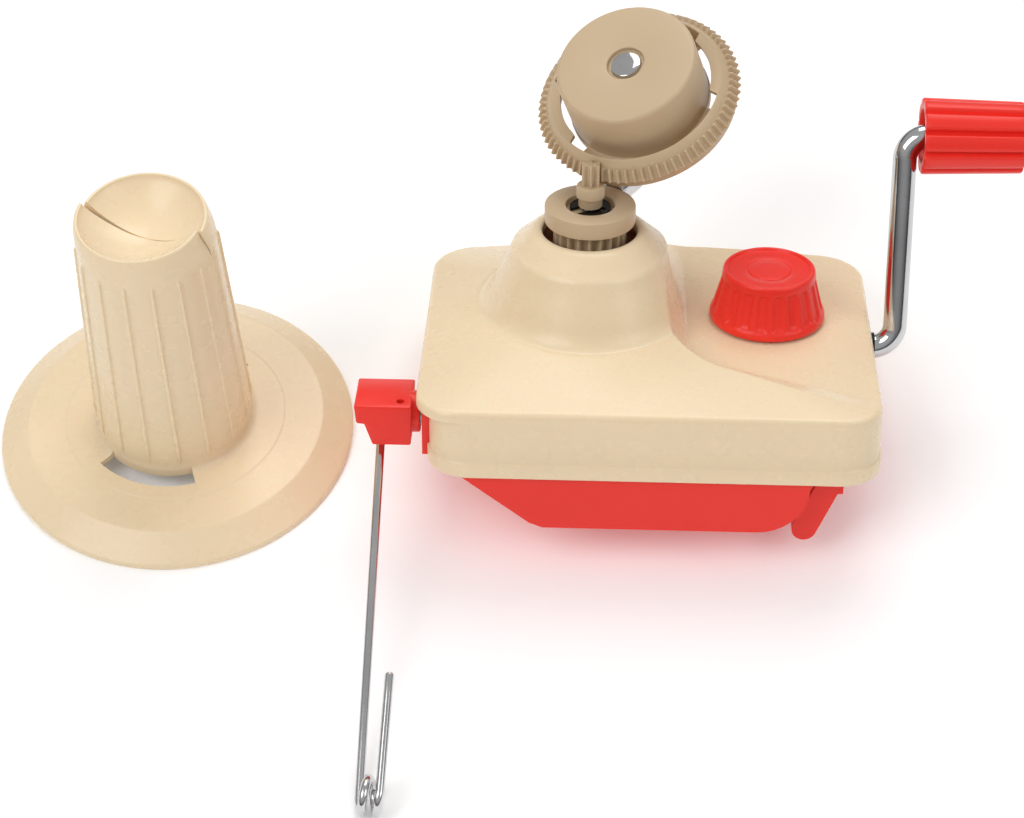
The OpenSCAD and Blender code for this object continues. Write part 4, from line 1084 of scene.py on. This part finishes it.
def drum_mesh(m, place, lug_middles):
    """The wheel's floor and drum, with a window under each lug"""
    d, rise, bore, rim = m.drum_radius, m.drum_rise, m.axle_d / 2, m.wheel_rim
    edge, window_span = 1.3, radians(61)
    form = [(bore + 0.05, -6.2), (7.4, -6.2), (7.6, -5.9), (7.6, -3.2), (7.6, rise - 2.4), (7.9, rise - 2.2)]
    form += [(d - 2.4, rise - 2.2), (d - 2, rise - 2.7), (d - 2, -5.2), (rim + 0.3, -5.2), (rim + 0.3, -3.4)]
    form += [(d + 0.45, -3.4), (d + 0.12, -3.25), (d, -2.9), (d, 0), (d, rise * 0.5), (d, rise - edge)]
    for q in (0.26, 0.52, 0.79, 1.05, 1.31, 1.57):
        form.append((d - edge + edge * cos(q), rise - edge + edge * sin(q)))
    form += [(d - 6, rise)] + about(bore, rise, (1.75, 0), (1.4, -0.07), (1.22, -0.3), (1.2, -1.3))
    form += about(bore, rise, (1.1, -1.4), (0.2, -1.4), (0.05, -1.55))
    drum = skin("drum", turned(form, angles(192)), place, looped=True)
    windows = [arc_cutter(d + 0.3, rim - 0.4, -7.6, -3, a, window_span, place) for a in lug_middles]
    return cut_away(drum, windows)


def lug_outline(rim, middle, span):
    """Plan of a holding lug inside the rim, with round ends"""
    turns = angles(25, middle - span / 2, span)
    outline = [polar(rim + 0.35, a) for a in turns]
    for a in reversed(turns):
        end = min(1.0, (span / 2 - abs(a - middle)) / radians(3.2))
        outline.append(polar(rim - 2.6 * (1 - (1 - end) ** 2.2), a))
    return outline


class WINDER_OT_wheel(bpy.types.Operator):
    """Builds the tilted winding wheel: toothed rim, floor with windows, holding lugs and drum"""

    bl_idname = "winder.wheel"
    bl_label = "Winding wheel"

    def execute(self, context):
        m = measured(context)
        place = at_wheel(m)
        lug_middles, lug_span = (radians(128), radians(308)), radians(55)
        bm = merged(toothed_rim(m, place), drum_mesh(m, place, lug_middles))
        for middle in lug_middles:
            lug = prism(lug_outline(m.wheel_rim, middle, lug_span), 1.6, 2.95)
            weave_rings(bm, lug, place, caps=True)
        mesh = finished_mesh("winding_wheel_disc", bm, 34)
        add_piece(context, "winding_wheel_disc", mesh, "winding_wheel", "taupe_plastic", "wheel")
        return {"FINISHED"}


def arm_route(m):
    """Middle line of the bent arm, from the collar's edge to the wheel's washer"""
    tilt, bend, level, washer_low = m.wheel_tilt, 12, 57, -7.6
    end_z = level + bend * (1 + sin(tilt))
    end_r = m.wheel_out + (m.wheel_up - end_z) * tan(tilt)
    bend_r = end_r - bend * cos(tilt)
    way = Vector((-sin(tilt), 0, cos(tilt)))
    shoulder = Vector((m.wheel_out, 0, m.wheel_up)) + way * washer_low
    route = [Vector((lerp(m.collar_radius + 0.4, bend_r, k / 3), 0, level)) for k in range(3)]
    for a in angles(25, 0, QUARTER + tilt):
        route.append(Vector((bend_r + bend * sin(a), 0, level + bend - bend * cos(a))))
    elbow_end = route[-1]
    return route + [elbow_end.lerp(shoulder, k / 3) for k in range(1, 4)]


class WINDER_OT_rotor(bpy.types.Operator):
    """Builds the rotor with its collar and pinion, the bent arm and the fixed pinion on top of the shaft"""

    bl_idname = "winder.rotor"
    bl_label = "Rotor and arm"

    def execute(self, context):
        m = measured(context)
        place = on_table(m)
        top, r, low = m.collar_height, m.collar_radius, m.collar_height - m.collar_thickness
        gear_low, hub, recess = 32.9, 2.55, 7.4
        bm = bmesh.new()
        outline = spur_outline(m.rotor_teeth, 1, 1, 1.25, 0.8)
        weave_rings(bm, gear_rings(outline, gear_low, low + 0.1, 0.3), place, caps=True)
        collar = [(hub, low + 0.2)] + about(r, low, (-0.5, 0), (-0.14, 0.14), (0, 0.5))
        collar += about(r, top, (0, -0.45), (-0.13, -0.13), (-0.45, 0))
        collar += about(recess, top, (0.35, 0), (0.1, -0.1), (0, -0.3), (0, -1.8), (-0.1, -1.9))
        collar.append((hub, top - 1.9))
        weave_rings(bm, turned(collar, angles(128)), place, looped=True)
        mesh = finished_mesh("rotor_collar", bm, 34)
        add_piece(context, "rotor_collar", mesh, "rotor", "taupe_plastic", "rotor")

        arm_place = place @ Matrix.Rotation(m.arm_direction, 4, "Z")
        axle_r, rise = m.axle_d / 2, m.drum_rise
        axle = [(0, -7.7), (axle_r - 0.4, -7.7), (axle_r, -7.3)]
        axle += about(axle_r, rise, (0, -0.85), (-0.12, -0.5), (-0.5, -0.34))
        axle += [(2, rise - 0.3), (0, rise - 0.3)]
        tongue_in, tongue_out, half = 8.9, 19, 3.5
        corners = ((tongue_in, -half), (tongue_out, -half), (tongue_out, half), (tongue_in, half))
        tongue = rounded([(x, y, 0.4) for x, y in corners], 3)
        bm = bmesh.new()
        weave_rings(bm, swept(arm_route(m), m.arm_d / 2, 36, 0.12), arm_place, caps=True)
        weave_rings(bm, turned(axle, angles(64)), at_wheel(m))
        weave_rings(bm, prism(tongue, 55.1, 59.1), arm_place, caps=True)
        mesh = finished_mesh("bent_arm", bm, 40)
        add_piece(context, "bent_arm", mesh, "rotor", "chrome_steel", "spindle_arm")

        outline = spur_outline(m.pinion_teeth, m.wheel_module, 0.8, 1.15, 0.7)
        tooth_place = arm_place @ Matrix.Rotation(pi / m.pinion_teeth, 4, "Z")
        neck = [(2.5, 59.2), (3.5, 59.2), (3.6, 59.4), (3.6, 62), (3.7, 62.2), (4.05, 62.2), (4.2, 62.4)]
        neck += [(4.2, 65.6), (4.05, 65.9), (3.8, 66), (0, 66)]
        bm = bmesh.new()
        weave_rings(bm, gear_rings(outline, m.pinion_low - 0.1, m.pinion_high, 0.22), tooth_place, caps=True)
        weave_rings(bm, turned(neck, angles(72)), place)
        mesh = finished_mesh("fixed_top_pinion", bm, 34)
        add_piece(context, "fixed_top_pinion", mesh, "housing", "taupe_plastic", "top_pinion")
        return {"FINISHED"}


# Nodes that keep their own shape

KEPT = {
    "red_plastic": ("base_housing", "clamp_jaw"),
    "ivory_plastic": ("drive_gear",),
    "zinc_steel": ("cover_screws", "fixed_shaft", "rotor_washer", "gear_pin", "crank_collar", "grip_cap",
                   "clamp_screw", "knob_washer", "clamp_nut", "guide_pin", "guide_washer"),
    "black_steel": ("e_clip", "wheel_washer", "crank_bush"),
}


class WINDER_OT_carried_over(bpy.types.Operator):
    """Gives every node that keeps its own shape the finish that its slot names"""

    bl_idname = "winder.carried_over"
    bl_label = "Kept nodes"

    def execute(self, context):
        for slot, names in KEPT.items():
            for name in names:
                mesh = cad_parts[name].data
                mesh.materials.clear()
                mesh.materials.append(finish_of(context, slot))
        for name in KEPT["red_plastic"]:
            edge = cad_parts[name].modifiers.new("moulded edges", "BEVEL")
            edge.width = 0.0006
            edge.segments = 2
            edge.limit_method = "ANGLE"
            edge.angle_limit = radians(40)
        return {"FINISHED"}


# Stage, in metres

FLOOR_RADIUS = 2.4
LAMP_TARGET = Vector((0, 0, 0.04))
# name, place, size and power
LAMPS = (
    ("key", (-0.75, -0.55, 1.15), 0.8, 7),
    ("fill", (0.95, -0.5, 0.9), 0.7, 3),
    ("rear", (0.1, 0.85, 1.15), 0.9, 7.5),
)
CAMERA_PLACE = (0.00447, -0.53524, 0.62418)
CAMERA_TURN = (40.5957, 0.6508, 2.2407)
CAMERA_LENS = 91.406


def pale_floor():
    bm = bmesh.new()
    bm.faces.new([bm.verts.new((*polar(FLOOR_RADIUS, a), 0)) for a in angles(64)])
    floor = plain_object("floor", finished_mesh("floor", bm))
    material, tree, surface, place = new_material("pale_floor")
    tone = blended(tree, noise_of(tree, place, scale=3), (0.96, 0.96, 0.96, 1), (0.985, 0.985, 0.985, 1))
    tree.links.new(tone, surface.inputs["Base Color"])
    set_inputs(surface, {
        "Roughness": 0.7,
        "Specular IOR Level": 0.2,
        "Emission Color": (1, 1, 1, 1),
        "Emission Strength": 0.1,
    })
    floor.data.materials.append(material)
    return floor


def studio_world():
    """Light that is dark at the horizon and white above it, so that curved faces show their form"""
    world = bpy.data.worlds.new("studio")
    world.use_nodes = True
    sky = world.node_tree
    place = sky.nodes.new("ShaderNodeTexCoord")
    split = sky.nodes.new("ShaderNodeSeparateXYZ")
    sky.links.new(place.outputs["Generated"], split.inputs["Vector"])
    rise = ranged(sky, split.outputs["Z"], 0.03, 0.42, 0, 1)
    background = sky.nodes["Background"]
    sky.links.new(blended(sky, rise, (0.1, 0.1, 0.11, 1), (1, 1, 1, 1)), background.inputs["Color"])
    background.inputs["Strength"].default_value = 0.5
    return world


class WINDER_OT_stage(bpy.types.Operator):
    """Sets the pale floor, the soft studio light and the camera"""

    bl_idname = "winder.stage"
    bl_label = "Stage"

    def execute(self, context):
        scene = context.scene
        pale_floor()
        scene.world = studio_world()
        for name, where, size, power in LAMPS:
            data = bpy.data.lights.new(name, "AREA")
            data.energy = power
            data.size = size
            lamp = bpy.data.objects.new(name, data)
            lamp.location = where
            lamp.rotation_euler = (LAMP_TARGET - Vector(where)).to_track_quat("-Z", "Y").to_euler()
            scene.collection.objects.link(lamp)
        data = bpy.data.cameras.new("view")
        data.lens = CAMERA_LENS
        data.sensor_width = 36
        data.clip_start = 0.01
        camera = bpy.data.objects.new("view", data)
        camera.location = CAMERA_PLACE
        camera.rotation_euler = tuple(radians(v) for v in CAMERA_TURN)
        scene.collection.objects.link(camera)
        scene.camera = camera
        scene.view_settings.view_transform = "Standard"
        return {"FINISHED"}


class WINDER_PT_panel(bpy.types.Panel):
    """Lists the winder's sizes, colours and pieces"""

    bl_label = "Yarn Ball Winder"
    bl_space_type = "VIEW_3D"
    bl_region_type = "UI"
    bl_category = "Winder"

    def draw(self, context):
        column = self.layout.column(align=True)
        for step in STEPS:
            column.operator(step.bl_idname)
        for group in (context.scene.winder_colours, context.scene.winder_body, context.scene.winder_drive):
            box = self.layout.box().column(align=True)
            for key in group.__annotations__:
                box.prop(group, key)


STEPS = (
    WINDER_OT_stage,
    WINDER_OT_carried_over,
    WINDER_OT_cover,
    WINDER_OT_cone,
    WINDER_OT_knob,
    WINDER_OT_crank,
    WINDER_OT_grip,
    WINDER_OT_guide,
    WINDER_OT_wheel,
    WINDER_OT_rotor,
)
CLASSES = (WinderBodySizes, WinderDriveSizes, WinderColours) + STEPS + (WINDER_PT_panel,)


def register():
    for kind in CLASSES:
        bpy.utils.register_class(kind)
    bpy.types.Scene.winder_body = PointerProperty(type=WinderBodySizes)
    bpy.types.Scene.winder_drive = PointerProperty(type=WinderDriveSizes)
    bpy.types.Scene.winder_colours = PointerProperty(type=WinderColours)


def unregister():
    del bpy.types.Scene.winder_colours
    del bpy.types.Scene.winder_drive
    del bpy.types.Scene.winder_body
    for kind in reversed(CLASSES):
        bpy.utils.unregister_class(kind)


def main():
    register()
    bpy.ops.winder.stage()
    bpy.ops.winder.carried_over()
    bpy.ops.winder.cover()
    bpy.ops.winder.cone()
    bpy.ops.winder.knob()
    bpy.ops.winder.crank()
    bpy.ops.winder.grip()
    bpy.ops.winder.guide()
    bpy.ops.winder.wheel()
    bpy.ops.winder.rotor()


if __name__ == "__main__":
    main()
